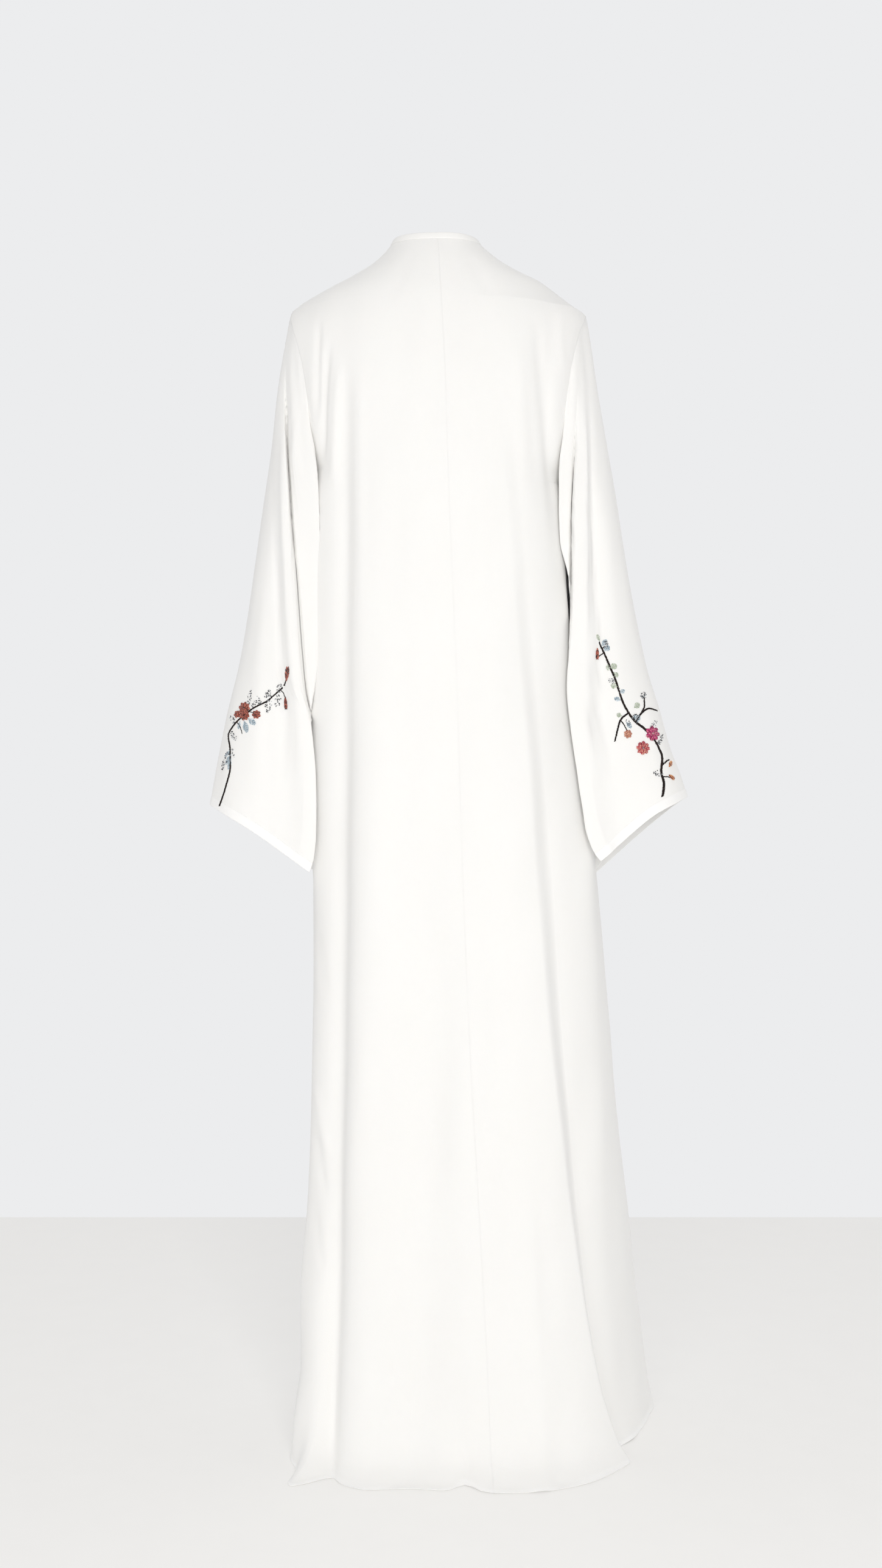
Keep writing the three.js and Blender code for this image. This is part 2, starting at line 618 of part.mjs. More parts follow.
function sleeve(side) {
  const sign = SIGN[side];
  const { outer, inner, cuff, fold } = SLEEVES[side];
  const directions = armholeDirections(side);
  const armholePoint = (face, step) => new THREE.Vector3(
    sign * ARMHOLE[side].reach(ARMHOLE_STEPS[step]),
    (face === 'back' ? 1 : -1) * ARMHOLE[side][face](ARMHOLE_STEPS[step]),
    lerp(UNDERARM_HEIGHT, TIP_HEIGHT[side], ARMHOLE_STEPS[step]),
  );
  const angleAt = (step) => Math.acos(2 * ARMHOLE_STEPS[step] - 1);
  const steps = sleeveSteps();
  const oval = (share, face, angle) => {
    const outerHeight = lerp(TIP_HEIGHT[side], cuff.outer, share ** OUTER_LEAD);
    const innerHeight = lerp(UNDERARM_HEIGHT, cuff.inner, share);
    const high = new THREE.Vector3(sign * outer.reach(outerHeight), 0, outerHeight);
    const low = new THREE.Vector3(sign * inner.reach(innerHeight), 0, innerHeight);
    const point = low.lerp(high, (1 + Math.cos(angle)) / 2);
    const depth = SLEEVE_DEPTH[face](share) * Math.sin(angle);
    point.y = face === 'back' ? depth : -depth;
    point.z += cuff[face] * share ** CUFF_POWER * Math.sin(angle) * (1 - CUFF_SKEW * Math.cos(angle));
    return point;
  };
  const foldAngle = (share) => {
    let [near, far] = [SLEEVE_FOLD.nearest, SLEEVE_FOLD.farthest];
    for (let i = 0; i < HALVINGS; i += 1) {
      const middle = (near + far) / 2;
      const point = oval(share, 'back', middle);
      if (sign * point.x > sign * fold.line(point.z)) near = middle;
      else far = middle;
    }
    return (near + far) / 2;
  };
  const backCount = 2 * (ARMHOLE_STEPS.length - 1);
  const gatheredAngle = (share, column) => {
    const { column: own, spread } = SLEEVE_FOLD;
    const middle = foldAngle(share);
    if (column < own - 2) return lerp(0, middle - 2 * spread, column / (own - 2));
    if (column <= own + 2) return middle + (column - own) * spread;
    return lerp(middle + 2 * spread, Math.PI, (column - own - 2) / (backCount - own - 2));
  };
  const grid = SLEEVE_RINGS.map((share) => steps.map(({ face, from, to, mix }, column) => {
    const plain = lerp(angleAt(from), angleAt(to), mix);
    const gathered = smoothstep(0, SLEEVE_FOLD.gathered, share);
    const angle = face === 'back' ? lerp(plain, gatheredAngle(share, column), gathered) : plain;
    const start = armholePoint(face, from).lerp(armholePoint(face, to), mix);
    const offset = start.clone().sub(oval(0, face, plain));
    const point = oval(share, face, angle);
    point.addScaledVector(offset, 1 - smoothstep(0, ARMHOLE_REACH, share));
    if (face === 'back' && share > 0) {
      const risen = smoothstep(FOLD_RISE.from, FOLD_RISE.to, share) * Math.sin(angle) ** FOLD_RISE.power;
      point.y += risen * fold.depth(point.z) * bell(point.x - fold.line(point.z), fold.width(point.z));
    }
    point.x += (sign * SEAM_GAP) / 2;
    return point;
  }));
  const outwards = (point) => {
    const middle = (sign * (outer.reach(point.z) + inner.reach(point.z))) / 2;
    return new THREE.Vector3(point.x - middle, point.y, 0);
  };
  const normals = gridNormals(grid, outwards, true);
  steps.forEach(({ face, from, to, mix }, c) => {
    normals[0][c].copy(directions[face][from]).lerp(directions[face][to], mix).normalize();
  });
  return wallGeometry(grid, innerGrid(grid, normals, CLOTH), true);
}

const crepe = () => new THREE.MeshStandardMaterial({ color: 0xf8f6f1, roughness: 0.82, metalness: 0 });

const group = new THREE.Group();
function addPiece(name, geometry) {
  const mesh = new THREE.Mesh(geometry, crepe());
  mesh.name = name;
  group.add(mesh);
}

const panels = bodyPanels();
for (const [name, { outer, inner }] of Object.entries(panels)) addPiece(name, wallGeometry(outer, inner));
addPiece('neck_band', neckBand(panels));
addPiece('sleeve_left', sleeve('left'));
addPiece('sleeve_right', sleeve('right'));
group.position.z = -SHOULDER_HEIGHT;

export default group;
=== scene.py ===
"""A long white crepe abaya in its worn, hanging form, with nobody in it.

Shapes are worked out in millimetres, with heights above the floor that the hem lies on, and are placed
in metres round the model's own origin between the shoulder tips. The fronts face -Y, the backs +Y, and
+X is the wearer's left.
"""
from math import acos, pi, radians
from types import SimpleNamespace

import bmesh
import bpy
import numpy as np
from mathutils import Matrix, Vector
from mathutils.bvhtree import BVHTree


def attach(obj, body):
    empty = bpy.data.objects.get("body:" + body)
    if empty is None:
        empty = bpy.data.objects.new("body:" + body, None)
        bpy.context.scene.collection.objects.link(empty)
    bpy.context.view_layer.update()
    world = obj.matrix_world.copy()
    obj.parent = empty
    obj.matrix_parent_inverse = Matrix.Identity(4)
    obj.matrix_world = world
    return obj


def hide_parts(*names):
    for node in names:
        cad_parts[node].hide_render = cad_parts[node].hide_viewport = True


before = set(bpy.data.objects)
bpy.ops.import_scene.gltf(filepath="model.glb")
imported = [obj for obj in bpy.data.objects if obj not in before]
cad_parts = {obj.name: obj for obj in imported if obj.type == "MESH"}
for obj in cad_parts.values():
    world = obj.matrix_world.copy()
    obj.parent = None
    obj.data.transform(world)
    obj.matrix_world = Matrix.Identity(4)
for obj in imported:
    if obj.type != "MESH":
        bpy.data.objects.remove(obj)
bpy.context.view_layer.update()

MM = 0.001
BODY = "root"

# ---------------------------------------------------------------------------------------------------
# Cut of the garment
# ---------------------------------------------------------------------------------------------------

SHOULDER_HEIGHT = 1400
UNDERARM_HEIGHT = 1175
TIP_HEIGHT = {"left": 1399, "right": 1395}
MIDDLE_TIP_HEIGHT = sum(TIP_HEIGHT.values()) / 2
NECK_HEIGHT = 1480
SIGN = {"left": 1, "right": -1}
FACE_SIGN = {"back": 1, "front": -1}

CLOTH = 0.9
HEM_CLOTH = 1.6
HEM_WIDTH = {"floor": 5, "front": 14, "cuff": 11}

# Neckline: how far its middle hangs below its sides, and the height where that starts to bend the rows.
NECK_DROP = {
    "back": SimpleNamespace(drop=7.5, power=1.4, start=1400),
    "front": SimpleNamespace(drop=82, power=1.1, start=1235),
}
BAND = SimpleNamespace(width=9.5, thickness=2.6, proud=0.3, upright=0.3, clear=0.2, least_step=0.5)

# The right front laps over the left one.
LAP = SimpleNamespace(past=12, under=6, ramp=34)


class Curve:
    """A smooth curve through a few values that never overshoots between two of them."""

    def __init__(self, keys, values):
        self.keys = np.array(keys, dtype=float)
        self.values = np.array(values, dtype=float)
        slopes = np.diff(self.values) / np.diff(self.keys)
        same_way = slopes[:-1] * slopes[1:] > 0
        total = np.where(same_way, slopes[:-1] + slopes[1:], 1)
        inside = np.where(same_way, 2 * slopes[:-1] * slopes[1:] / total, 0)
        self.tangents = np.concatenate([slopes[:1], inside, slopes[-1:]])

    def __call__(self, key):
        key = np.clip(key, self.keys[0], self.keys[-1])
        i = np.clip(np.searchsorted(self.keys, key, side="right") - 1, 0, len(self.keys) - 2)
        span = self.keys[i + 1] - self.keys[i]
        t = (key - self.keys[i]) / span
        t2, t3 = t * t, t * t * t
        start = self.values[i] * (2 * t3 - 3 * t2 + 1) + self.tangents[i] * span * (t3 - 2 * t2 + t)
        end = self.values[i + 1] * (3 * t2 - 2 * t3) + self.tangents[i + 1] * span * (t3 - t2)
        return start + end


def table(columns, rows, key=lambda value: value):
    """Named smooth lookups from the rows of a table, whose first column is the key."""
    names = columns.split()[1:]
    by_column = list(zip(*rows))
    keys = [key(value) for value in by_column[0]]
    return SimpleNamespace(**{name: Curve(keys, by_column[i + 1]) for i, name in enumerate(names)})


def lerp(start, end, share):
    return start + (end - start) * share


def smoothstep(start, end, value):
    t = np.clip((value - start) / (end - start), 0, 1)
    return t * t * (3 - 2 * t)


def bell(distance, width):
    return np.exp(-((distance / width) ** 2))


# Back and front depth on the centre lines, where those lines run, the depth at which each side is
# widest, and how square the section is across and in depth.
PROFILE = table("height back front back_centre front_centre left_depth right_depth across deep", [
    (0, 200, -178, -60, -10, 100, -81, 2.6, 2.0),
    (5, 187, -173, -60, -10, 99, -80, 2.6, 2.0),
    (14, 172, -169, -59, -10, 98, -79, 2.6, 2.0),
    (30, 160, -165, -58, -10, 95, -78, 2.6, 2.0),
    (55, 152, -161, -57, -9, 88, -76, 2.6, 2.0),
    (150, 142, -155, -53, -8, 58, -66, 2.5, 2.0),
    (300, 134, -148, -45, -7, 28, -50, 2.5, 2.05),
    (500, 127, -140, -34, -5, 9, -30, 2.6, 2.2),
    (720, 122, -133, -25, -3, 0, -14, 2.65, 2.4),
    (920, 118, -128, -19, -2, 0, -4, 2.7, 2.7),
    (1145, 113, -125, -10, 0, 0, 0, 2.7, 2.9),
    (1175, 112, -124, -9, 0, 0, 0, 2.7, 2.9),
    (1200, 111, -123, -8, 0, 0, 0, 2.6, 2.65),
    (1230, 110, -122, -7, 0, 0, 0, 2.5, 2.4),
    (1300, 107, -117, -5, 0, 0, 0, 2.4, 2.2),
    (1360, 101, -106, -2, 0, 0, 0, 2.3, 1.9),
    (1399, 94, -95, 0, 1, 0, 0, 2.2, 1.65),
    (1440, 80, -78, 2, 2, 0, 0, 2.1, 1.7),
    (1466, 68, -65, 3, 3, 0, 0, 2.1, 1.85),
    (1480, 61, -58, 4, 4, 0, 0, 2.1, 2.0),
])

# How far each side reaches from the middle: below the underarm, and along the shoulder seam.
REACH_BELOW = {
    "left": Curve(
        (0, 40, 107, 162, 300, 449, 720, 900, 1010, 1145, 1175),
        (180, 177, 169, 170, 164, 161, 159.5, 158.5, 158, 157.5, 157),
    ),
    "right": Curve(
        (0, 100, 260, 503, 640, 714, 751, 791, 831, 877, 920, 1010, 1090, 1145, 1175),
        (274, 257, 238, 214, 202, 194.5, 187, 179.5, 172, 164, 158.5, 155.5, 154, 149.5, 147),
    ),
}
REACH_ABOVE = {
    "left": Curve((1399, 1410, 1435, 1453.7, 1467.5, 1480), (187.5, 174, 126, 93, 76, 65)),
    "right": Curve((1395, 1401, 1430, 1443.7, 1457, 1472, 1480), (183, 172, 135, 107.6, 82, 60, 52.5)),
}


def armhole_turn(share):
    """Angle round the armhole loop for a share of its height: 0 at the underarm, pi at the tip."""
    return acos(1 - 2 * share)


ARMHOLE = {
    "left": table("share reach back front", [
        (0, 157, 0, 0), (0.036, 157, 31, 29), (0.11, 157, 47, 47), (0.21, 157.5, 57, 59),
        (0.335, 160, 62, 65), (0.478, 164, 63.5, 68), (0.625, 169, 61, 66), (0.76, 176, 54, 59),
        (0.87, 183.5, 42, 46), (0.95, 187, 26, 28), (1, 187.5, 0, 0),
    ], key=armhole_turn),
    "right": table("share reach back front", [
        (0, 147, 0, 0), (0.036, 147, 31, 29), (0.11, 147.2, 47, 47), (0.21, 148, 57, 59),
        (0.335, 150, 62, 65), (0.478, 153.5, 63.5, 68), (0.625, 158.5, 61, 66), (0.76, 165, 54, 59),
        (0.87, 172, 42, 46), (0.95, 179, 26, 28), (1, 183, 0, 0),
    ], key=armhole_turn),
}

# Main folds. A bell pushes the cloth out, or in with a negative depth, along a line. A step drops all
# the cloth from the line to the side. Lean pulls the line towards the side.
FOLD_COLUMNS = "height line depth width lean"
FOLDS = {
    ("back", "left"): {
        "valley": table(FOLD_COLUMNS, [
            (0, 136, -20, 13, 0), (60, 133, -17, 13, 0), (230, 129, -14, 13, 0), (520, 124, -11, 13, 0),
            (820, 119, -9, 13, 0), (1090, 117, -8, 12, 0), (1250, 116, -5, 11, 0),
            (1340, 115, 0, 10, 0), (1399, 110, 0, 10, 0), (1440, 80, 0, 10, 0), (1480, 45, 0, 10, 0),
        ]),
        "crest": table(FOLD_COLUMNS, [
            (0, 92, 7, 26, 0), (400, 92, 7, 26, 0), (900, 88, 4, 24, 0), (1200, 88, 0, 24, 0),
        ]),
        "curl": table(FOLD_COLUMNS, [
            (0, 147, 44, 13, 4), (8, 147, 30, 13, 3), (22, 147, 14, 13, 2), (50, 147, 3, 13, 0),
            (90, 147, 0, 13, 0),
        ]),
        "hollow": table(FOLD_COLUMNS, [
            (0, 22, -6, 42, 0), (300, 22, -8, 40, 0), (700, 26, -5, 36, 0), (1000, 30, 0, 36, 0),
        ]),
    },
    ("back", "right"): {
        "ridge_step": table(FOLD_COLUMNS, [
            (0, -214, 46, 25, 24), (20, -204, 42, 25, 17), (96, -184, 38, 26, 9), (221, -164, 32, 26, 5),
            (346, -149, 26, 25, 3), (522, -129, 19, 25, 2), (719, -114, 14, 24, 1), (872, -102, 10, 22, 1),
            (1025, -90, 6, 19, 0), (1178, -78, 2, 15, 0), (1260, -72, 0, 13, 0), (1399, -62, 0, 13, 0),
            (1480, -30, 0, 13, 0),
        ]),
        "wave": table(FOLD_COLUMNS, [
            (0, -28, -20, 15, 0), (12, -28, -13, 15, 0), (35, -28, -4, 15, 0), (70, -28, 0, 15, 0),
        ]),
        "armhole_crease": table(FOLD_COLUMNS, [
            (1000, -150, 0, 8, 0), (1091, -144, -4, 8, 0), (1178, -135, -5, 8, 0), (1315, -121, -4, 8, 0),
            (1375, -116, 0, 8, 0),
        ]),
    },
    ("front", "left"): {
        "inner": table(FOLD_COLUMNS, [
            (0, 66, -16, 18, 0), (400, 62, -13, 17, 0), (850, 58, -8, 16, 0), (1180, 56, 0, 16, 0),
        ]),
        "outer": table(FOLD_COLUMNS, [
            (0, 122, 12, 20, 0), (400, 114, 10, 18, 0), (850, 108, 6, 16, 0), (1120, 106, 0, 16, 0),
        ]),
    },
    ("front", "right"): {
        "inner": table(FOLD_COLUMNS, [
            (0, -88, -18, 20, 0), (400, -78, -14, 18, 0), (850, -68, -8, 16, 0), (1200, -62, 0, 16, 0),
        ]),
        "outer": table(FOLD_COLUMNS, [
            (0, -168, 15, 24, 0), (400, -140, 12, 21, 0), (850, -114, 6, 17, 0), (1100, -106, 0, 16, 0),
        ]),
    },
}
STEP = SimpleNamespace(start=0.15, lean_back=0.3, lean_width=0.75, fade=0.8)
FOLD_FADE_START = 0.86

# ---------------------------------------------------------------------------------------------------
# Creases, listed one by one
# ---------------------------------------------------------------------------------------------------

# Each runs from a low to a high height, through its place across the panel at the low end, halfway and
# at the high end. Depth is out of the cloth, or into it when negative. A positive skew makes the side
# towards +X the broad one.
CREASE_COLUMNS = "low high foot middle head depth width skew"
CREASES = {
    "back": [
        (-200, 905, 30, 12, -4, -3.2, 30, 0.2),
        (-150, 640, -38, -34, -24, 2.6, 22, -0.2),
        (120, 760, -84, -70, -58, -2.2, 17, 0.1),
        (-120, 420, -128, -112, -98, 2.4, 15, 0.3),
        (430, 1120, 66, 70, 78, 1.5, 15, 0.2),
        (640, 1230, -20, -12, -18, -1.4, 22, 0),
        (820, 1290, 40, 46, 58, -1.3, 14, 0.3),
        (900, 1320, -52, -50, -46, 1.4, 15, -0.3),
        (980, 1345, 96, 97, 96, 1.9, 8, 0.2),
        (1190, 1352, 143, 141, 134, -4, 4.5, 0.2),
        (1150, 1330, 131, 128, 122, 2.8, 6, 0),
        (1240, 1385, 151, 149, 147, -3, 3.6, 0.2),
        (1120, 1365, -106, -98, -92, 1.7, 9, 0.2),
        (1230, 1392, -128, -132, -140, -1.6, 6, 0),
        (1300, 1400, -150, -146, -148, 1.2, 4, 0),
        (300, 392, 139, 147, 152, -1.9, 5, 0),
        (346, 448, 137, 145, 151, 1.6, 5, 0),
        (210, 300, 141, 149, 154, -1.3, 5, 0),
        (540, 640, 138, 144, 150, -1.1, 5, 0),
        (1385, 1462, 60, 48, 36, -1.0, 9, 0),
        (1390, 1455, -58, -46, -32, -1.1, 9, 0),
    ],
    "front": [
        (-150, 700, 26, 22, 16, 2.6, 15, 0.2),
        (-150, 520, -46, -42, -34, 2.8, 16, -0.2),
        (60, 860, 92, 86, 82, 2.4, 12, 0.1),
        (-100, 610, -128, -112, -98, -2.6, 15, 0.2),
        (250, 980, -26, -22, -20, -1.8, 13, 0),
        (520, 1120, 38, 36, 40, -1.7, 12, 0.2),
        (700, 1230, -86, -84, -80, 1.8, 11, -0.2),
        (850, 1290, 84, 88, 96, -1.9, 10, 0),
        (1040, 1340, -110, -112, -116, -2.1, 8, 0.2),
        (1060, 1350, 118, 120, 124, 2.0, 8, 0),
        (1180, 1380, -136, -138, -142, 1.7, 5.5, 0),
        (1190, 1385, 142, 142, 146, -1.8, 5.5, 0),
        (1290, 1440, 52, 66, 84, -1.2, 8, 0),
        (1290, 1440, -50, -62, -80, -1.3, 8, 0),
    ],
    "sleeve_left_back": [
        (730, 1300, 174, 198, 197, -1.8, 5, -0.2),
        (745, 980, 181, 193, 196, -1.4, 6, -0.2),
        (740, 1130, 222, 222, 210, 1.6, 9, 0),
        (760, 1080, 250, 240, 224, -1.3, 11, 0.2),
        (770, 960, 270, 262, 250, 0.9, 7, 0),
        (1120, 1360, 171, 181, 189, 1.6, 4.5, 0),
        (1150, 1380, 163, 174, 186, -1.1, 4.5, 0),
        (1180, 1345, 178, 185, 189, -1.0, 3.5, 0),
    ],
    "sleeve_right_back": [
        (745, 1010, -206, -189, -184, -2.4, 4, -0.3),
        (840, 975, -191, -190, -186, -1.8, 2.6, -0.3),
        (950, 1370, -188, -182, -179, -1.3, 5, -0.3),
        (1110, 1350, -153, -159, -167, 1.4, 4.5, 0),
        (770, 1160, -226, -216, -200, 1.5, 10, 0),
        (780, 1090, -256, -242, -222, -1.4, 11, 0.2),
        (790, 960, -286, -272, -252, 1.0, 7, 0),
        (1180, 1385, -192, -188, -184, 1.0, 5, 0),
    ],
    "sleeve_left_front": [
        (700, 1290, 182, 186, 190, 2.2, 9, 0.1),
        (730, 1200, 206, 202, 198, -2.0, 9, 0.2),
        (740, 1080, 238, 228, 214, 1.9, 10, 0),
        (1130, 1380, 176, 180, 184, -1.8, 6, 0),
        (770, 930, 264, 256, 248, -1.2, 7, 0),
    ],
    "sleeve_right_front": [
        (700, 1290, -204, -190, -182, 2.1, 9, 0.1),
        (730, 1190, -230, -214, -198, -2.0, 9, 0.2),
        (750, 1080, -262, -246, -222, 1.8, 10, 0),
        (1130, 1380, -168, -172, -178, -1.8, 6, 0),
        (780, 930, -288, -274, -258, -1.2, 7, 0),
    ],
}
CREASE_TAPER = 0.28

# Slow unevenness of hanging cloth: how far apart the waves are across and up, and how high they are.
DRIFT_WAVES = [
    SimpleNamespace(across=61, up=410, height=0.55, turn=0.4),
    SimpleNamespace(across=43, up=270, height=0.25, turn=2.1),
    SimpleNamespace(across=-83, up=330, height=0.5, turn=4.0),
    SimpleNamespace(across=-31, up=230, height=0.1, turn=1.2),
]
DRIFT_BEAT = 2.3


def crease_relief(name, across, height):
    """How far the creases of a panel move it out, by place across it and height."""
    total = np.zeros_like(across)
    names = CREASE_COLUMNS.split()
    for row in CREASES[name]:
        crease = SimpleNamespace(**dict(zip(names, row)))
        t = (height - crease.low) / (crease.high - crease.low)
        bend = 2 * crease.middle - (crease.foot + crease.head) / 2
        line = lerp(lerp(crease.foot, bend, t), lerp(bend, crease.head, t), t)
        slope = 2 * lerp(bend - crease.foot, crease.head - bend, t) / (crease.high - crease.low)
        off = (across - line) / np.sqrt(1 + slope**2)
        width = crease.width * np.where(off > 0, 1 + crease.skew, 1 - crease.skew)
        taper = smoothstep(0, CREASE_TAPER, t) * (1 - smoothstep(1 - CREASE_TAPER, 1, t))
        total += crease.depth * taper * bell(off, width)
    return total


def drift_relief(across, height):
    return sum(
        wave.height * np.sin(2 * pi * (across / wave.across + height / wave.up) + wave.turn)
        * np.cos(2 * pi * height / (wave.up * DRIFT_BEAT) + wave.turn)
        for wave in DRIFT_WAVES
    )


# ---------------------------------------------------------------------------------------------------
# Rows and columns of cloth
# ---------------------------------------------------------------------------------------------------

ROW_STEP = 5.5
HEM_ROWS = (0, 2, 4.5, 7.5, 11, 15, 17, 18, 19, 21, 25, 30, 36, 43, 50)
ARMHOLE_ROWS = 64
SHOULDER_ROWS = 18
FRONT_COLUMNS = 72
BACK_FINENESS = 5

# Columns of a back panel from the centre seam to the side, gathered round its main fold.
BACK_COLUMNS = {
    "left": SimpleNamespace(fold="valley", offsets=(-15, -7, 0, 7, 15), counts=(6, 1, 1, 1, 1, 4)),
    "right": SimpleNamespace(
        fold="ridge_step", offsets=(-24, -10, -2, 6, 14, 24), counts=(5, 1, 1, 1, 1, 1, 4)
    ),
}
FULL_OFFSET_REACH = 150
COLUMN_LEVEL_SHARE = 0.7

ARMHOLE_TURNS = np.linspace(0, pi, ARMHOLE_ROWS + 1)


def body_climb():
    """Rows of the body: heights up to the underarm, then on past the shoulder tip to the neck."""
    plain = np.arange(HEM_ROWS[-1] + ROW_STEP, UNDERARM_HEIGHT - ROW_STEP / 2, ROW_STEP)
    armhole = lerp(UNDERARM_HEIGHT, MIDDLE_TIP_HEIGHT, (1 - np.cos(ARMHOLE_TURNS)) / 2)
    shoulder = np.linspace(MIDDLE_TIP_HEIGHT, NECK_HEIGHT, SHOULDER_ROWS + 1)[1:]
    return np.concatenate([HEM_ROWS, plain, armhole, shoulder])[:, None]


CLIMB = body_climb()
FIRST_ARMHOLE_ROW = len(CLIMB) - SHOULDER_ROWS - ARMHOLE_ROWS - 1
TIP_ROW = FIRST_ARMHOLE_ROW + ARMHOLE_ROWS


def row_level(side, share):
    """Height of every row at a share of the way from the centre line to the side."""
    stops = (0, UNDERARM_HEIGHT, MIDDLE_TIP_HEIGHT, NECK_HEIGHT)
    own = np.interp(CLIMB, stops, (0, UNDERARM_HEIGHT, TIP_HEIGHT[side], NECK_HEIGHT))
    return lerp(CLIMB, own, share)


class Section:
    """A quarter of the body's section, from a centre line to a side, at many heights at once."""

    def __init__(self, side, face, height):
        self.sign = SIGN[side]
        tip = TIP_HEIGHT[side]
        self.centre = getattr(PROFILE, face + "_centre")(height)
        apex = getattr(PROFILE, face)(height)
        self.side_depth = getattr(PROFILE, side + "_depth")(height)
        self.depth = apex - self.side_depth
        self.across = PROFILE.across(height)
        self.deep = PROFILE.deep(height)
        share = np.clip((height - UNDERARM_HEIGHT) / (tip - UNDERARM_HEIGHT), 0, 1)
        turn = np.arccos(1 - 2 * share)
        beside = (height > UNDERARM_HEIGHT) & (height < tip)
        loop = ARMHOLE[side]
        above = REACH_ABOVE[side](height)
        self.reach = np.where(height <= UNDERARM_HEIGHT, REACH_BELOW[side](height), above)
        self.reach = np.where(beside, loop.reach(turn), self.reach)
        edge_depth = np.where(beside, FACE_SIGN[face] * getattr(loop, face)(turn), self.side_depth)
        edge_share = np.clip((edge_depth - self.side_depth) / self.depth, 0, 1)
        self.last_angle = np.arccos(edge_share ** (self.deep / 2))
        own_reach = self.reach - self.sign * self.centre
        self.full_reach = own_reach / np.sin(self.last_angle) ** (2 / self.across)

    def x_at(self, share):
        along = np.sin(np.abs(share) * self.last_angle) ** (2 / self.across)
        return self.centre + self.sign * np.sign(share) * self.full_reach * along

    def share_at(self, x):
        ratio = self.sign * (x - self.centre) / self.full_reach
        angle = np.arcsin(np.clip(np.abs(ratio), 0, 1) ** (self.across / 2))
        return np.sign(ratio) * angle / self.last_angle

    def y_at(self, x):
        ratio = np.clip(np.abs(x - self.centre) / self.full_reach, 0, 1)
        return self.side_depth + self.depth * (1 - ratio**self.across) ** (1 / self.deep)

    def normal_at(self, x, y):
        ratio = np.clip(np.abs(x - self.centre) / self.full_reach, 0, 1)
        depth_ratio = np.clip((y - self.side_depth) / self.depth, 0, 1)
        outward = np.sign(x - self.centre) * self.across * ratio ** (self.across - 1) / self.full_reach
        back = self.deep * depth_ratio ** (self.deep - 1) / self.depth
        length = np.hypot(outward, back)
        return outward / length, back / length


def fold_shift(name, fold, side, x, height, reach):
    """How far a main fold moves the cloth out, and along it towards the side."""
    line = fold.line(height)
    depth = fold.depth(height)
    width = fold.width(height)
    lean = fold.lean(height)
    past = SIGN[side] * (x - line)
    if not name.endswith("_step"):
        amount = bell(past, width)
        return depth * amount, lean * amount
    left = np.clip((reach - SIGN[side] * x) / (reach - SIGN[side] * line), 0, 1)
    out = -depth * smoothstep(-STEP.start * width, width, past) * left**STEP.fade
    return out, lean * bell(past + STEP.lean_back * width, STEP.lean_width * width)


def body_grid(side, face, shares):
    """Points of a body panel, in rows from the hem to the neck."""
    across = np.abs(shares)
    level = row_level(side, across)
    neck = NECK_DROP[face]
    drop = neck.drop * np.cos(np.clip(across, 0, 1) * pi / 2) ** neck.power
    height = level - drop * smoothstep(neck.start, NECK_HEIGHT, level)
    x = Section(side, face, level).x_at(shares)
    section = Section(side, face, height)
    y = section.y_at(x)
    normal_x, normal_y = section.normal_at(x, y)
    fade = 1 - smoothstep(FOLD_FADE_START, 1, across)
    out = np.zeros_like(x)
    along = np.zeros_like(x)
    for fold_side in SIGN:
        for name, fold in FOLDS[face, fold_side].items():
            if fold_side != side and name.endswith("_step"):
                continue
            fold_out, fold_along = fold_shift(name, fold, fold_side, x, height, section.reach)
            out += fold_out * fade
            along += fold_along * fade
    if (face, side) == ("front", "left"):
        out -= LAP.under * (1 - smoothstep(0, LAP.ramp, x - PROFILE.front_centre(height)))
    sideways = SIGN[side] * along
    tangent_x = np.abs(normal_y)
    tangent_y = -np.sign(normal_y) * normal_x * SIGN[side]
    return np.stack([
        x + normal_x * out + tangent_x * sideways,
        y + normal_y * out + tangent_y * np.abs(sideways),
        height,
    ], axis=-1)


def back_shares(side):
    """Shares of a back panel's columns, row by row, from the centre seam to the side."""
    columns = BACK_COLUMNS[side]
    level = row_level(side, COLUMN_LEVEL_SHARE)
    section = Section(side, "back", level)
    line = FOLDS["back", side][columns.fold].line(level)
    scale = np.minimum(1, section.reach / FULL_OFFSET_REACH)
    stops = [np.zeros_like(level)]
    stops += [section.share_at(line + SIGN[side] * offset * scale) for offset in columns.offsets]
    stops.append(np.ones_like(level))
    stops = np.hstack(stops)
    counts = np.cumsum((0,) + columns.counts)
    places = np.linspace(0, counts[-1], counts[-1] * BACK_FINENESS + 1)
    return np.array([np.interp(places, counts, row) for row in stops])


def front_shares(side):
    """Shares of a front panel's columns, row by row, from the lapped edge to the side."""
    level = row_level(side, 1)
    section = Section(side, "front", level)
    edge_x = PROFILE.front_centre(level) - SIGN[side] * LAP.past
    places = np.sin(np.linspace(0, pi / 2, FRONT_COLUMNS + 1))
    return section.share_at(lerp(edge_x, SIGN[side] * section.reach, places))


def unit(vectors):
    return vectors / np.maximum(np.linalg.norm(vectors, axis=-1, keepdims=True), 1e-9)


def slopes(grid, axis, closed=False):
    """Central differences of a grid of points along its rows or columns."""
    if closed:
        return np.roll(grid, -1, axis) - np.roll(grid, 1, axis)
    return np.gradient(grid, axis=axis)


def grid_normals(grid, outward, closed=False):
    normals = unit(np.cross(slopes(grid, 1, closed), slopes(grid, 0)))
    facing = np.sum(normals * outward)
    return normals if facing > 0 else -normals


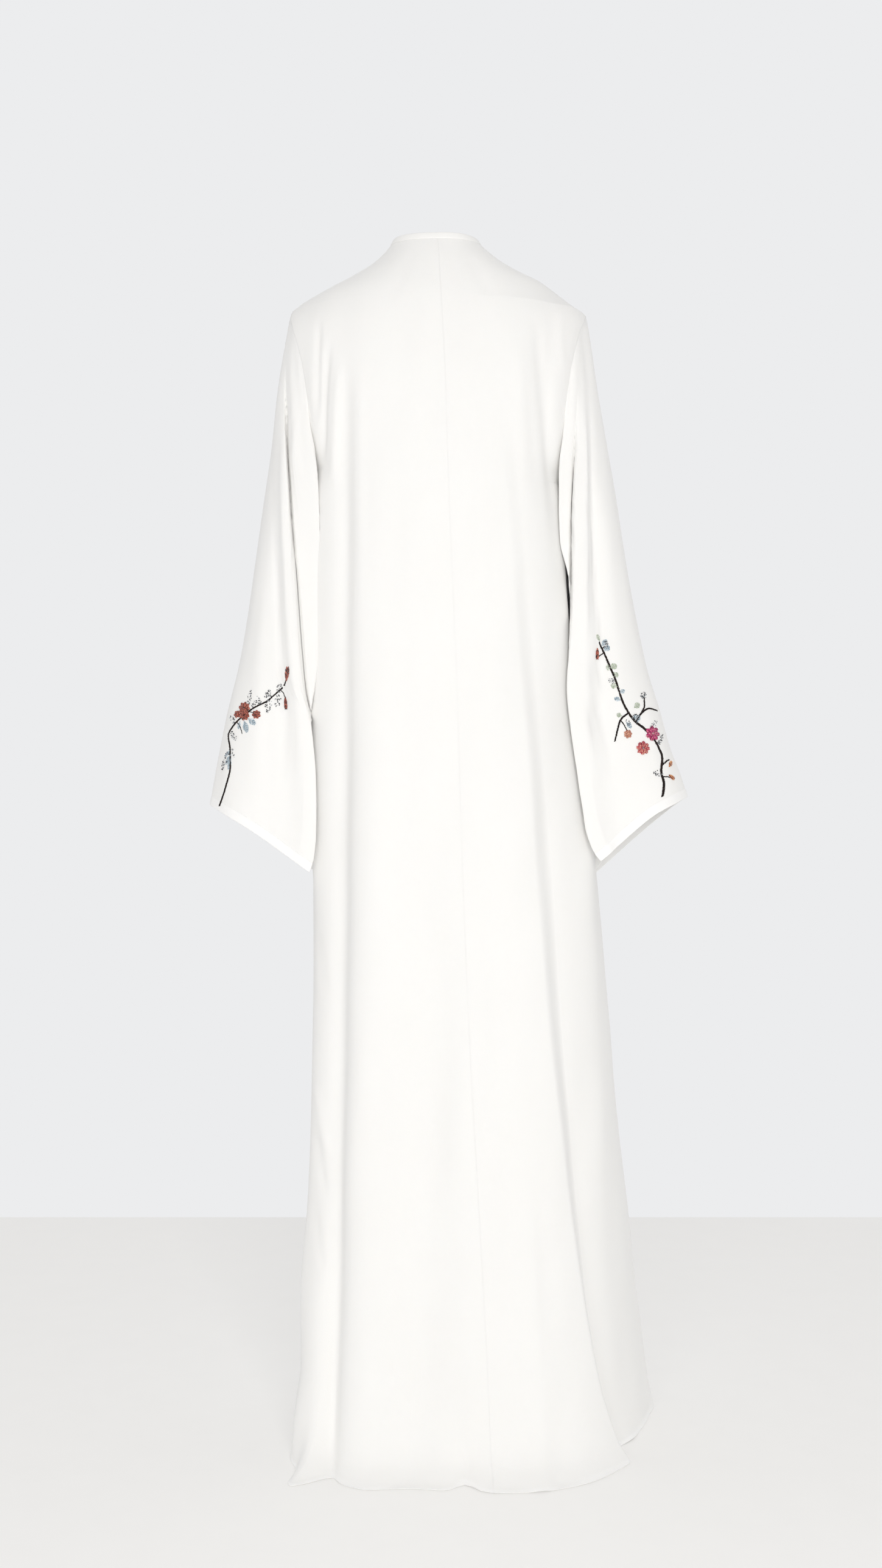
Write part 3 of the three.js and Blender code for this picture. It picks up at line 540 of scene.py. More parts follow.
def armhole_loop(side):
    """Back and front halves of the armhole, from the underarm up to the tip."""
    loop = ARMHOLE[side]
    height = lerp(UNDERARM_HEIGHT, TIP_HEIGHT[side], (1 - np.cos(ARMHOLE_TURNS)) / 2)
    reach = SIGN[side] * loop.reach(ARMHOLE_TURNS)
    return {
        face: np.stack([reach, FACE_SIGN[face] * getattr(loop, face)(ARMHOLE_TURNS), height], axis=-1)
        for face in ("back", "front")
    }


def armhole_directions(side):
    """Square to the armhole seam and away from its opening, for its back and front halves."""
    directions = {}
    for face, points in armhole_loop(side).items():
        run = np.gradient(points, axis=0)
        turned = np.stack([np.zeros(len(run)), run[:, 2], -run[:, 1]], axis=-1) * FACE_SIGN[face]
        turned[0] = (0, 0, -1)
        turned[-1] = (0, 0, 1)
        directions[face] = unit(turned)
    return directions


def distance_in(grid, axis, closed_start=True):
    """How far each point lies from the first (or last) line of the grid, along the cloth."""
    steps = np.linalg.norm(np.diff(grid, axis=axis), axis=-1)
    pad = [(0, 0), (0, 0)]
    pad[axis] = (1, 0)
    run = np.pad(np.cumsum(steps, axis=axis), pad)
    if closed_start:
        return run
    whole = run[-1:, :] if axis == 0 else run[:, -1:]
    return whole - run


# ---------------------------------------------------------------------------------------------------
# Seams and hems
# ---------------------------------------------------------------------------------------------------

# Puckers are two waves along a seam that fall in and out of step, some way beside it.
SEAM = SimpleNamespace(
    dip=0.12, width=2.2, pucker=0.14, reach=11, beside=1.6, spacing=13, second=0.6, wider=1.7, calm=9,
)
HEM_STITCH = SimpleNamespace(
    dip=0.3, width=1.3, swell=0.35, pucker=0.25, reach=0.8, spacing=17, beat=71, turn=0.5,
)


def seam_relief(distance, run):
    """A sewn seam lies a little below the cloth on both sides, and puckers it slightly."""
    waves = np.sin(2 * pi * run / SEAM.spacing)
    waves += SEAM.second * np.sin(2 * pi * run / (SEAM.spacing * SEAM.wider) + 1)
    pucker = SEAM.pucker * waves * bell(distance - SEAM.width * SEAM.beside, SEAM.reach / 2)
    return pucker * smoothstep(0, SEAM.width, distance) - SEAM.dip * bell(distance, SEAM.width)


def hem_relief(distance, run, width):
    """A turned hem is a little thicker than the cloth, down to its stitch line."""
    fullness = HEM_STITCH.swell * doubled(distance, width)
    waves = np.sin(2 * pi * run / HEM_STITCH.spacing)
    waves *= np.sin(2 * pi * run / HEM_STITCH.beat + HEM_STITCH.turn)
    pucker = HEM_STITCH.pucker * waves * bell(distance - width, width * HEM_STITCH.reach)
    return fullness + pucker - HEM_STITCH.dip * bell(distance - width, HEM_STITCH.width)


def doubled(distance, width):
    """1 where a hem doubles the cloth and 0 past its stitch line."""
    return 1 - smoothstep(width - 1, width + 1, distance)


def away_from(distance):
    """Keeps creases and puckers off a seam."""
    return smoothstep(1, SEAM.calm, distance)


# ---------------------------------------------------------------------------------------------------
# Shells
# ---------------------------------------------------------------------------------------------------


def model_space(points):
    """From millimetres above the floor to the model's own metres."""
    placed = np.array(points, dtype=float)
    placed[..., 2] = np.maximum(placed[..., 2], 0) - SHOULDER_HEIGHT
    return placed * MM


def face_smoothly(mesh, facing):
    """Shades both sides of a cloth by its own outward directions, right up to its seams."""
    normals = np.empty(len(mesh.loops) * 3)
    mesh.corner_normals.foreach_get("vector", normals)
    normals = normals.reshape(-1, 3)
    vertex = np.empty(len(mesh.loops), dtype=int)
    mesh.loops.foreach_get("vertex_index", vertex)
    smooth = np.empty(len(mesh.polygons), dtype=bool)
    mesh.polygons.foreach_get("use_smooth", smooth)
    corners = np.empty(len(mesh.polygons), dtype=int)
    mesh.polygons.foreach_get("loop_total", corners)
    own = np.repeat(smooth, corners) & (vertex < len(facing))
    towards = facing[np.minimum(vertex, len(facing) - 1)]
    side = np.sign(np.sum(normals * towards, axis=1, keepdims=True))
    mesh.normals_split_custom_set(np.where(own[:, None], towards * side, normals).tolist())


def add_object(name, vertices, faces, finish, flat_faces=(), facing=None, hem=None):
    """A closed mesh that rides on the garment's one body, smooth but for its flat faces."""
    mesh = bpy.data.meshes.new(name)
    mesh.from_pydata(vertices.tolist(), [], faces + list(flat_faces))
    tidy = bmesh.new()
    tidy.from_mesh(mesh)
    bmesh.ops.recalc_face_normals(tidy, faces=tidy.faces)
    tidy.to_mesh(mesh)
    tidy.free()
    mesh.polygons.foreach_set("use_smooth", np.arange(len(mesh.polygons)) < len(faces))
    if facing is not None:
        face_smoothly(mesh, facing)
        mesh.attributes.new("hem", "FLOAT", "POINT").data.foreach_set("value", hem)
    mesh.materials.append(finish)
    piece = bpy.data.objects.new(name, mesh)
    bpy.context.scene.collection.objects.link(piece)
    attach(piece, BODY)
    return piece


def quads(ids):
    """Faces of a grid of vertex numbers."""
    corners = (ids[:-1, :-1], ids[:-1, 1:], ids[1:, 1:], ids[1:, :-1])
    return np.stack(corners, axis=-1).reshape(-1, 4).tolist()


def shell(name, cloth, finish, closed=False, round_edges=()):
    """A closed thin wall of cloth, with its named free edges rounded over."""
    outer, inner = cloth.outer, cloth.inner
    rows, columns = outer.shape[:2]
    count = rows * columns
    ids = np.arange(count).reshape(rows, columns)
    if closed:
        ids = np.hstack([ids, ids[:, :1]])
    points = np.concatenate([outer.reshape(-1, 3), inner.reshape(-1, 3)])
    faces = quads(ids) + quads(ids + count)
    sewn_edges = []
    edges = {"bottom": (ids[0], ids[1]), "top": (ids[-1], ids[-2])}
    if not closed:
        edges |= {"start": (ids[:, 0], ids[:, 1]), "end": (ids[:, -1], ids[:, -2])}
    for edge, (line, inward) in edges.items():
        if edge not in round_edges:
            sewn_edges += quads(np.stack([line, line + count]))
            continue
        own, own_inward = (line[:-1], inward[:-1]) if closed else (line, inward)
        thickness = np.linalg.norm(points[own] - points[own + count], axis=-1, keepdims=True)
        push = unit(points[own] - points[own_inward]) * thickness / 2
        middle = len(points) + np.arange(len(own))
        points = np.concatenate([points, (points[own] + points[own + count]) / 2 + push])
        if closed:
            middle = np.append(middle, middle[0])
        else:
            faces += [[line[k], middle[k], line[k] + count] for k in (0, -1)]
        faces += quads(np.stack([line, middle, line + count]))
    facing = np.tile(cloth.facing.reshape(-1, 3), (2, 1))
    hem = np.ones(len(points))
    hem[:2 * count] = np.tile(cloth.hem.reshape(-1), 2)
    return add_object(name, model_space(points), faces, finish, sewn_edges, facing, hem)


# ---------------------------------------------------------------------------------------------------
# Body
# ---------------------------------------------------------------------------------------------------


def share_side_normals(back_normals, front_normals, side):
    """Gives both panels of a side one direction along their seam and armhole."""
    shared = unit((back_normals + front_normals) * (1, 0, 1))
    mitre = armhole_directions(side)
    rows = slice(FIRST_ARMHOLE_ROW, TIP_ROW + 1)
    back_normals[:] = shared
    front_normals[:] = shared
    back_normals[rows] = mitre["back"]
    front_normals[rows] = mitre["front"]


def raise_cloth(grid, normals, relief, hem, closed=False):
    """Cloth raised by its relief: its outer and inner points, where its outside faces, and its hems."""
    thickness = lerp(CLOTH, HEM_CLOTH, hem)
    outer = grid + normals * relief[..., None]
    outer[..., 2] = np.maximum(outer[..., 2], thickness * np.maximum(0, normals[..., 2]))
    facing = grid_normals(outer, normals, closed)
    inner = outer - normals * thickness[..., None]
    return SimpleNamespace(outer=outer, inner=inner, facing=facing, hem=hem)


def some_columns(cloth, part):
    return SimpleNamespace(**{name: grid[:, part] for name, grid in vars(cloth).items()})


def panel_relief(grid, crease_name, seams, free_edges):
    """Creases, seams and hems of a panel. Seams and free edges give each point's distance."""
    relief = crease_relief(crease_name, grid[..., 0], grid[..., 2])
    relief += drift_relief(grid[..., 0], grid[..., 2])
    for distance, _, _ in seams:
        relief *= away_from(distance)
    for distance, run, strength in seams:
        relief += strength * seam_relief(distance, run)
    for distance, run, width in free_edges:
        relief += hem_relief(distance, run, width)
    return relief


# The centre-back seam hardly shows.
CENTRE_SEAM_STRENGTH = 0.05

# Beside the sleeves the body is fuller, so that they hang against it.
CORNER = SimpleNamespace(
    full=Curve((640, 760, 850, 1000, 1100, 1150, 1170, 1192), (3, 9, 10, 9, 8, 7.5, 6, 0)),
    depth=53, width=17, side=(118, 138),
)


def corner_relief(grid, from_side):
    beside = smoothstep(*CORNER.side, np.abs(grid[..., 0])) * away_from(from_side)
    return CORNER.full(grid[..., 2]) * beside * bell(np.abs(grid[..., 1]) - CORNER.depth, CORNER.width)


def body_panels():
    """The cloth of the two backs and the two fronts."""
    halves = {side: body_grid(side, "back", back_shares(side)) for side in SIGN}
    centre = halves["right"].shape[1] - 1
    back = np.hstack([halves["right"][:, ::-1], halves["left"][:, 1:]])
    back_normals = grid_normals(back, (0, 1, 0))
    fronts = {side: body_grid(side, "front", front_shares(side)) for side in SIGN}
    front_normals = {side: grid_normals(fronts[side], (0, -1, 0)) for side in SIGN}
    share_side_normals(back_normals[:, 0], front_normals["right"][:, -1], "right")
    share_side_normals(back_normals[:, -1], front_normals["left"][:, -1], "left")

    up, down = distance_in(back, 0), distance_in(back, 0, False)
    across, rest = distance_in(back, 1), distance_in(back, 1, False)
    from_centre = np.abs(across - across[:, centre:centre + 1])
    seams = [(np.minimum(across, rest), up, 1), (down, across, 0)]
    relief = panel_relief(back, "back", seams, [(up, across, HEM_WIDTH["floor"])])
    relief += corner_relief(back, np.minimum(across, rest))
    relief += CENTRE_SEAM_STRENGTH * seam_relief(from_centre, up)
    whole = raise_cloth(back, back_normals, relief, doubled(up, HEM_WIDTH["floor"]))
    panels = {
        "back_right": some_columns(whole, slice(0, centre + 1)),
        "back_left": some_columns(whole, slice(centre, None)),
    }
    for side, grid in fronts.items():
        up, down = distance_in(grid, 0), distance_in(grid, 0, False)
        from_edge, rest = distance_in(grid, 1), distance_in(grid, 1, False)
        hems = [(up, from_edge, HEM_WIDTH["floor"]), (from_edge, up, HEM_WIDTH["front"])]
        relief = panel_relief(grid, "front", [(rest, up, 1), (down, from_edge, 0)], hems)
        relief += corner_relief(grid, rest)
        hem = np.maximum(doubled(up, HEM_WIDTH["floor"]), doubled(from_edge, HEM_WIDTH["front"]))
        panels["front_" + side] = raise_cloth(grid, front_normals[side], relief, hem)
    return panels


# ---------------------------------------------------------------------------------------------------
# Sleeves
# ---------------------------------------------------------------------------------------------------

# Outer and inner lines run from the shoulder tip and the underarm down to the cuff. The fold is the long
# one down the back of the sleeve, and falls away outwards some way past its line. The inner edge hangs
# over the gap beside the body, and sags by a share of that.
SLEEVES = {
    "left": SimpleNamespace(
        outer=Curve(
            (781, 886, 966, 1089, 1236, 1310, 1399),
            (290.4, 270.5, 252, 233.6, 212, 202.8, 187.5),
        ),
        inner=Curve(
            (706, 722, 748, 792, 898, 1027, 1140, 1158, 1168, 1175),
            (174, 167, 164.5, 163.5, 164, 163.5, 164.5, 163.5, 160.5, 157),
        ),
        cuff=SimpleNamespace(outer=781, inner=706, back=7, front=-4),
        fold=table("height line depth edge lean", [
            (700, 168, 3, 146, 0), (766, 170, 5, 147, 0), (852, 174, 8, 151, 0), (890, 176, 9, 160, 1),
            (919, 178, 10, 166.5, 2), (961, 182, 11, 171, 2), (1038, 188, 12, 177, 2),
            (1143, 194, 12, 185.5, 2), (1243, 197, 10, 191, 1.5), (1328, 197, 5, 193, 1),
            (1375, 195, 0, 189, 0),
        ]),
        fall=SimpleNamespace(at=Curve((700, 1400), (7, 7)), soft=7),
        overhang=Curve(
            (706, 722, 745, 770, 800, 830, 860, 890, 920, 950, 1000, 1060, 1100, 1130, 1150, 1163, 1175),
            (46, 45, 44.5, 43, 41, 38.5, 33.5, 28, 31, 34, 33, 30, 28, 25, 20, 12.5, 0),
        ),
        sag=0.75,
    ),
    "right": SimpleNamespace(
        outer=Curve(
            (790, 815, 850.6, 898, 951.5, 1027, 1107, 1224.5, 1339, 1395),
            (309.6, 301.6, 288, 275, 259, 243.6, 229.7, 211, 192, 183),
        ),
        inner=Curve(
            (722, 734, 751, 791, 831, 877, 951, 1107, 1140, 1160, 1168, 1175),
            (206, 196, 190.5, 184, 177, 169, 162.5, 161, 158, 154, 151, 147),
        ),
        cuff=SimpleNamespace(outer=790, inner=722, back=12, front=-16),
        fold=table("height line depth edge lean", [
            (700, -205, 4, -184, 0), (760, -196, 7, -172, 0), (847, -183, 10, -157, 0),
            (900, -176, 11, -149, 0), (945, -174, 12, -149, 0), (975, -174, 12, -157, 2),
            (1043, -173, 12, -161, 3), (1125, -173, 12, -161.4, 3), (1198, -174, 11, -163.7, 3),
            (1257, -175, 9, -166, 2), (1304, -175, 5, -167.5, 1), (1355, -175, 0, -169, 0),
        ]),
        fall=SimpleNamespace(
            at=Curve((700, 760, 850, 950, 1040, 1200, 1340), (7, 7, 7, 14, 11, 7, 4)), soft=3,
        ),
        overhang=Curve(
            (722, 740, 760, 785, 810, 840, 870, 900, 925, 950, 975, 1000, 1030, 1060, 1090, 1115, 1140,
             1160, 1175),
            (41, 41, 41.5, 40, 39, 37, 35, 34, 33, 30, 24, 20.5, 20, 23, 27, 25.5, 20, 12, 0),
        ),
        sag=1.0,
    ),
}
SLEEVE_DEPTH = table("share back front", [
    (0, 63, 67), (0.2, 62, 66), (0.5, 62, 68), (0.8, 66, 74), (1, 68, 78),
])

# The outer line runs ahead of the inner one, and the armhole's shape is kept over the first stretch.
OUTER_LEAD = 0.75
ARMHOLE_REACH = 0.35
CUFF_POWER = 3
CUFF_SKEW = 0.5
HALVINGS = 24

# Columns gather round the sharp edge of a sleeve's long fold: its own place among the coarse columns,
# how many steps on each side are drawn in and how wide a step is, the angles that it stays between, and
# the share of the sleeve by which they have gathered.
COARSE_COLUMNS = 20
SLEEVE_FOLD = SimpleNamespace(
    column=12, steps=2, spread=0.07, nearest=0.55, farthest=2.02, gathered=0.12,
)

# The fold rises out of the cloth between these shares of the sleeve, and is flatter near its lines.
FOLD_RISE = SimpleNamespace(start=0.02, full=0.16, power=0.35)

# From its crest to its sharp edge the fold drops by a share of its depth, and then snaps down into a
# groove that its edge leans over.
FOLD_EDGE = SimpleNamespace(drop=0.3, snap=1.3, lean_width=3.5, groove=10, groove_width=1.8, full=6)

# The cloth beside the body is square in section and hangs over the gap.
INNER_SIDE = SimpleNamespace(
    start=0.35, squareness=0.5, angle=1.12, width=0.3, out=0.27, rise=(0.03, 0.2),
)

# Rings lie closer together near the armhole and the cuff. Creases stop short of the two fold lines.
SLEEVE_RINGS = np.concatenate([
    np.linspace(0, 0.06, 13)[:-1], np.linspace(0.06, 0.965, 92)[:-1], np.linspace(0.965, 1, 13),
])[:, None]
CREASE_MARGIN = 0.12
SEAM_GAP = 0.05


def sleeve_oval(side, face_sign, share, angle):
    """A point round a sleeve before its fold, at a share of its length."""
    sleeve = SLEEVES[side]
    outer_height = lerp(TIP_HEIGHT[side], sleeve.cuff.outer, share**OUTER_LEAD)
    inner_height = lerp(UNDERARM_HEIGHT, sleeve.cuff.inner, share)
    high = (1 + np.cos(angle)) / 2
    x = SIGN[side] * lerp(sleeve.inner(inner_height), sleeve.outer(outer_height), high)
    inner = smoothstep(*INNER_SIDE.rise, share)
    flat = 1 - INNER_SIDE.squareness * inner * smoothstep(INNER_SIDE.start, 1, 1 - high)
    overhang = sleeve.overhang(inner_height) * bell(pi - angle - INNER_SIDE.angle, INNER_SIDE.width)
    x = x - SIGN[side] * overhang
    depth = np.where(face_sign > 0, SLEEVE_DEPTH.back(share), SLEEVE_DEPTH.front(share))
    drop = np.where(face_sign > 0, sleeve.cuff.back, sleeve.cuff.front)
    drop = drop * share**CUFF_POWER * np.sin(angle) * (1 - CUFF_SKEW * np.cos(angle))
    return np.stack([
        x, face_sign * (depth * np.abs(np.sin(angle)) ** flat + INNER_SIDE.out * overhang),
        lerp(inner_height, outer_height, high) + drop - sleeve.sag * overhang,
    ], axis=-1)


def fold_angle(side, share):
    """Where a sleeve's long fold lies round each ring."""
    fold = SLEEVES[side].fold
    near = np.full_like(share, SLEEVE_FOLD.nearest)
    far = np.full_like(share, SLEEVE_FOLD.farthest)
    for _ in range(HALVINGS):
        middle = (near + far) / 2
        point = sleeve_oval(side, np.ones_like(share), share, middle)
        outside = SIGN[side] * point[..., 0] > SIGN[side] * fold.edge(point[..., 2])
        near = np.where(outside, middle, near)
        far = np.where(outside, far, middle)
    return (near + far) / 2


def gathered_angles(side, share, places):
    """Angles of the back columns once they have gathered round the fold."""
    middle = fold_angle(side, share)
    own, steps = SLEEVE_FOLD.column, SLEEVE_FOLD.steps
    reach = steps * SLEEVE_FOLD.spread
    stops = np.hstack([np.zeros_like(middle), middle - reach, middle + reach, np.full_like(middle, pi)])
    keys = (0, own - steps, own + steps, COARSE_COLUMNS)
    return np.array([np.interp(places, keys, row) for row in stops])


def sleeve_grid(side):
    """Points of a sleeve in rings from the armhole to the cuff: down its back, then up its front."""
    sign = SIGN[side]
    angles = pi - ARMHOLE_TURNS[::-1]
    plain = np.concatenate([angles, angles[-2:0:-1]])[None, :]
    face_sign = np.where(np.arange(plain.shape[1]) <= ARMHOLE_ROWS, 1, -1)[None, :]
    share = np.broadcast_to(SLEEVE_RINGS, (len(SLEEVE_RINGS), plain.shape[1]))
    places = np.linspace(0, COARSE_COLUMNS, ARMHOLE_ROWS + 1)
    gathered = smoothstep(0, SLEEVE_FOLD.gathered, SLEEVE_RINGS)
    angle = np.broadcast_to(plain, share.shape).copy()
    back = slice(0, ARMHOLE_ROWS + 1)
    angle[:, back] = lerp(plain[:, back], gathered_angles(side, SLEEVE_RINGS, places), gathered)
    loop = armhole_loop(side)
    seam = np.concatenate([loop["back"][::-1], loop["front"][1:-1]])[None]
    offset = seam - sleeve_oval(side, face_sign, np.zeros_like(plain), plain)
    grid = sleeve_oval(side, face_sign, share, angle)
    grid += offset * (1 - smoothstep(0, ARMHOLE_REACH, share))[..., None]
    risen = smoothstep(FOLD_RISE.start, FOLD_RISE.full, share) * np.abs(np.sin(angle)) ** FOLD_RISE.power
    risen = np.where((face_sign > 0) & (share > 0), risen, 0)
    rise, lean = fold_rise(SLEEVES[side], sign, grid[..., 0], grid[..., 2])
    grid[..., 1] += risen * rise
    grid[..., 0] += sign * (SEAM_GAP - risen * lean)
    return grid, face_sign


def fold_rise(sleeve, sign, x, height):
    """How far a sleeve's long fold stands out, and how far its sharp edge leans towards the body."""
    fold, fall = sleeve.fold, sleeve.fall
    line, edge, depth = fold.line(height), fold.edge(height), fold.depth(height)
    outwards = sign * (x - line)
    past_edge = sign * (x - edge)
    inwards = np.clip(-outwards / np.abs(line - edge), 0, 1)
    outside = 1 - smoothstep(fall.at(height) - fall.soft, fall.at(height) + fall.soft, outwards)
    crest = np.where(outwards > 0, outside, 1 - FOLD_EDGE.drop * inwards**2)
    up = smoothstep(-FOLD_EDGE.snap, FOLD_EDGE.snap, past_edge)
    groove = bell(past_edge + FOLD_EDGE.snap, FOLD_EDGE.groove_width)
    groove *= smoothstep(0, FOLD_EDGE.full, depth)
    lean = fold.lean(height) * bell(past_edge - FOLD_EDGE.snap, FOLD_EDGE.lean_width) * up
    return depth * crest * up - FOLD_EDGE.groove * groove, lean


def sleeve_cloth(side):
    grid, face_sign = sleeve_grid(side)
    sleeve = SLEEVES[side]
    middle = SIGN[side] * (sleeve.outer(grid[..., 2]) + sleeve.inner(grid[..., 2])) / 2
    outwards = np.stack([grid[..., 0] - middle, grid[..., 1], np.zeros_like(middle)], axis=-1)
    normals = grid_normals(grid, unit(outwards), closed=True)
    mitre = armhole_directions(side)
    normals[0] = np.concatenate([mitre["back"][::-1], mitre["front"][1:-1]])

    down, up = distance_in(grid, 0), distance_in(grid, 0, False)
    around = distance_in(grid, 1)
    back, front = (
        crease_relief(f"sleeve_{side}_{face}", grid[..., 0], grid[..., 2]) for face in FACE_SIGN
    )
    relief = np.where(face_sign > 0, back, front)
    turn = np.abs(np.linspace(-1, 1, grid.shape[1] + 1)[:-1])[None, :]
    relief *= smoothstep(0, CREASE_MARGIN, turn) * smoothstep(0, CREASE_MARGIN, 1 - turn)
    relief = (relief + drift_relief(around, grid[..., 2])) * away_from(down)
    relief += seam_relief(down, around) + hem_relief(up, around, HEM_WIDTH["cuff"])
    return raise_cloth(grid, normals, relief, doubled(up, HEM_WIDTH["cuff"]), closed=True)


# ---------------------------------------------------------------------------------------------------
# Neck binding
# ---------------------------------------------------------------------------------------------------

BAND_RING = np.linspace(0, 2 * pi, 17)[:-1]
BAND_ROUNDNESS = 0.62


def band_stations(panels):
    """The neckline from the lapping right front round the back to the left front, with its slope."""
    names = ("front_right", "back_right", "back_left", "front_left")
    lines = []
    for name in names:
        cloth = panels[name]
        backwards = name == "front_left"
        rows = [cloth.outer[-1], cloth.outer[-2], cloth.inner[-1]]
        lines.append([row[::-1] if backwards else row for row in rows])
    top, below, inside = (np.concatenate([line[k] for line in lines]) for k in range(3))
    keep = np.append(np.linalg.norm(np.diff(top, axis=0), axis=-1) > BAND.least_step, True)
    top, below, inside = top[keep], below[keep], inside[keep]
    rise = unit(lerp(unit(top - below), np.array([0, 0, 1.0]), BAND.upright))
    return top, rise, unit(top - inside)


def neck_band(panels, finish):
    """A folded strip that binds the neckline, rounded over its top."""
    top, rise, out = band_stations(panels)
    centre = top + rise * (BAND.width / 2 + BAND.clear) + out * (BAND.proud - BAND.thickness / 2)
    high = np.sign(np.cos(BAND_RING)) * np.abs(np.cos(BAND_RING)) ** BAND_ROUNDNESS * BAND.width / 2
    thick = np.sign(np.sin(BAND_RING)) * np.abs(np.sin(BAND_RING)) ** BAND_ROUNDNESS * BAND.thickness / 2
    rings = centre[:, None] + rise[:, None] * high[None, :, None] + out[:, None] * thick[None, :, None]
    count = len(BAND_RING)
    ids = np.arange(rings.shape[0] * count).reshape(-1, count)
    faces = quads(np.hstack([ids, ids[:, :1]])) + [ids[0].tolist(), ids[-1].tolist()]
    return add_object("neck_binding", model_space(rings.reshape(-1, 3)), faces, finish)


# ---------------------------------------------------------------------------------------------------
# Embroidery and stitching
# ---------------------------------------------------------------------------------------------------

# Plain sprays of flowers and leaves near both cuffs. Every place is across and up, in millimetres, on
# the back of the sleeve. Stems are a width and their places from foot to tip. Flowers are a finish, a
# middle, a radius, a count of petals and a turn. Buds and leaves are a finish, a foot, a tip and a width.
# Sprigs are a foot, a tip, a width and a count of beads.
SPRAYS = {
    "left": SimpleNamespace(
        seed=11,
        stems=[
            (2.3, [(273, 779), (265, 802), (259, 828), (260, 850), (263, 866), (256, 878), (244, 889),
                   (229, 899), (213, 907), (200, 918), (192, 926), (188.5, 934)]),
            (1.0, [(252, 883), (247, 877), (244, 868)]),
            (0.9, [(236, 895), (230, 893), (226, 890)]),
            (0.9, [(196, 921), (192, 916), (190, 911)]),
        ],
        flowers=[
            ("coral", (241.5, 899.5), 7.8, 8, 0.2), ("coral", (241, 890.5), 7.0, 7, 0.6),
            ("coral", (251, 892), 4.8, 6, 0.9), ("coral", (225.5, 891), 5.6, 7, 1.7),
        ],
        buds=[("coral", (188.5, 931), (186.5, 949), 6.0), ("coral", (190, 913), (189, 897), 4.4)],
        leaves=[
            ("blue", (242, 885), (237, 868), 7.5), ("blue", (247, 884), (249, 873), 5),
            ("blue", (237, 887), (226, 878), 7.5), ("blue", (258, 843), (266, 829), 6),
            ("blue", (258, 838), (262, 823), 5), ("blue", (259, 848), (267, 840), 5),
        ],
        sprigs=[
            ((236, 904), (233, 921), 6, 20), ((221, 903), (225, 914), 6, 14),
            ((213, 908), (210, 921), 9, 26), ((208, 909), (213, 893), 9, 24),
            ((199, 918), (195, 929), 7, 20), ((199, 915), (200, 899), 8, 22),
            ((254, 880), (261, 890), 6, 16), ((259, 870), (252, 860), 7, 20),
            ((262, 846), (271, 824), 7, 34), ((257, 849), (254, 838), 4, 10),
            ((231, 900), (226, 908), 5, 10),
        ],
    ),
    "right": SimpleNamespace(
        seed=23,
        stems=[
            (3.6, [(-271, 791), (-273, 806), (-270, 822), (-272, 838), (-267, 852), (-259, 864)]),
            (3.2, [(-259, 864), (-249, 874), (-238, 882), (-229, 893), (-222, 906), (-217, 921)]),
            (2.7, [(-217, 921), (-212, 936), (-206, 950), (-200, 964), (-193, 979)]),
            (2.4, [(-238, 882), (-246, 893), (-257, 899), (-268, 897)]),
            (2.2, [(-246, 893), (-250, 903), (-250, 912)]),
            (2.4, [(-229, 893), (-219, 884), (-215, 871), (-212, 858)]),
            (1.4, [(-219, 884), (-224, 877), (-227, 871)]),
            (2.0, [(-271, 829), (-278, 834), (-282, 836)]),
            (1.4, [(-271, 815), (-278, 815), (-281, 814)]),
            (1.2, [(-199, 966), (-194, 963), (-191, 961)]),
        ],
        flowers=[
            ("magenta", (-260, 868), 9.8, 7, 0.5), ("rose", (-247, 850), 8.8, 8, 0.1),
            ("peach", (-228, 867), 5.4, 7, 0.4),
        ],
        buds=[
            ("coral", (-190.5, 972), (-190.5, 958), 4.6), ("amber", (-281, 827), (-286, 834), 5.5),
            ("amber", (-280, 817), (-288, 812), 6),
        ],
        leaves=[
            ("green", (-210, 936), (-216, 942), 8), ("green", (-207, 947), (-215, 952), 8.5),
            ("green", (-209, 948), (-201, 949), 8.5), ("green", (-216, 925), (-207, 927), 8),
            ("green", (-236, 899), (-244, 905), 8), ("green", (-221, 889), (-214, 891), 6.5),
            ("blue", (-199, 968), (-206, 975), 8), ("blue", (-196, 974), (-203, 983), 6.5),
            ("blue", (-218, 917), (-225, 921), 6), ("blue", (-220, 908), (-211, 911), 6),
            ("blue", (-239, 880), (-243, 891), 6.5), ("blue", (-233, 887), (-242, 888), 6),
            ("blue", (-226, 882), (-233, 874), 6), ("green", (-194, 980), (-190, 989), 5),
        ],
        sprigs=[
            ((-211, 930), (-205, 934), 7, 16), ((-199, 972), (-202, 981), 7, 20),
            ((-249, 911), (-250, 919), 9, 22), ((-236, 884), (-240, 891), 9, 22),
            ((-266, 853), (-275, 868), 5, 22), ((-271, 818), (-260, 820), 8, 20),
            ((-257, 876), (-267, 884), 6, 14), ((-231, 878), (-226, 884), 5, 10),
        ],
    ),
}

# Steps, threads and heights in millimetres; uneven is the range of the random share of a length.
THREAD = SimpleNamespace(
    step=0.55, slant=0.8, overlap=0.35, height=0.75, wander=0.16, taper=0.35, uneven=(0.88, 1.14),
)
LEAF = SimpleNamespace(
    step=0.62, thread=0.62, height=0.5, lead=0.22, run=(0.03, 0.9), skew=0.85, fullness=0.75,
    uneven=(0.9, 1.1), least_stitches=5,
)
VEIN = SimpleNamespace(step=1.6, end=0.96, thread=0.6, height=0.5, lift=0.3, least_stitches=4)
PETAL = SimpleNamespace(
    threads=7, spread=0.84, from_share=0.24, thread=1.25, height=0.9, point=0.2, crown=0.35,
    far=(0.93, 1.07), near=(0.7, 1.3), overlap=(1.1, 0.95), settle=0.7,
)
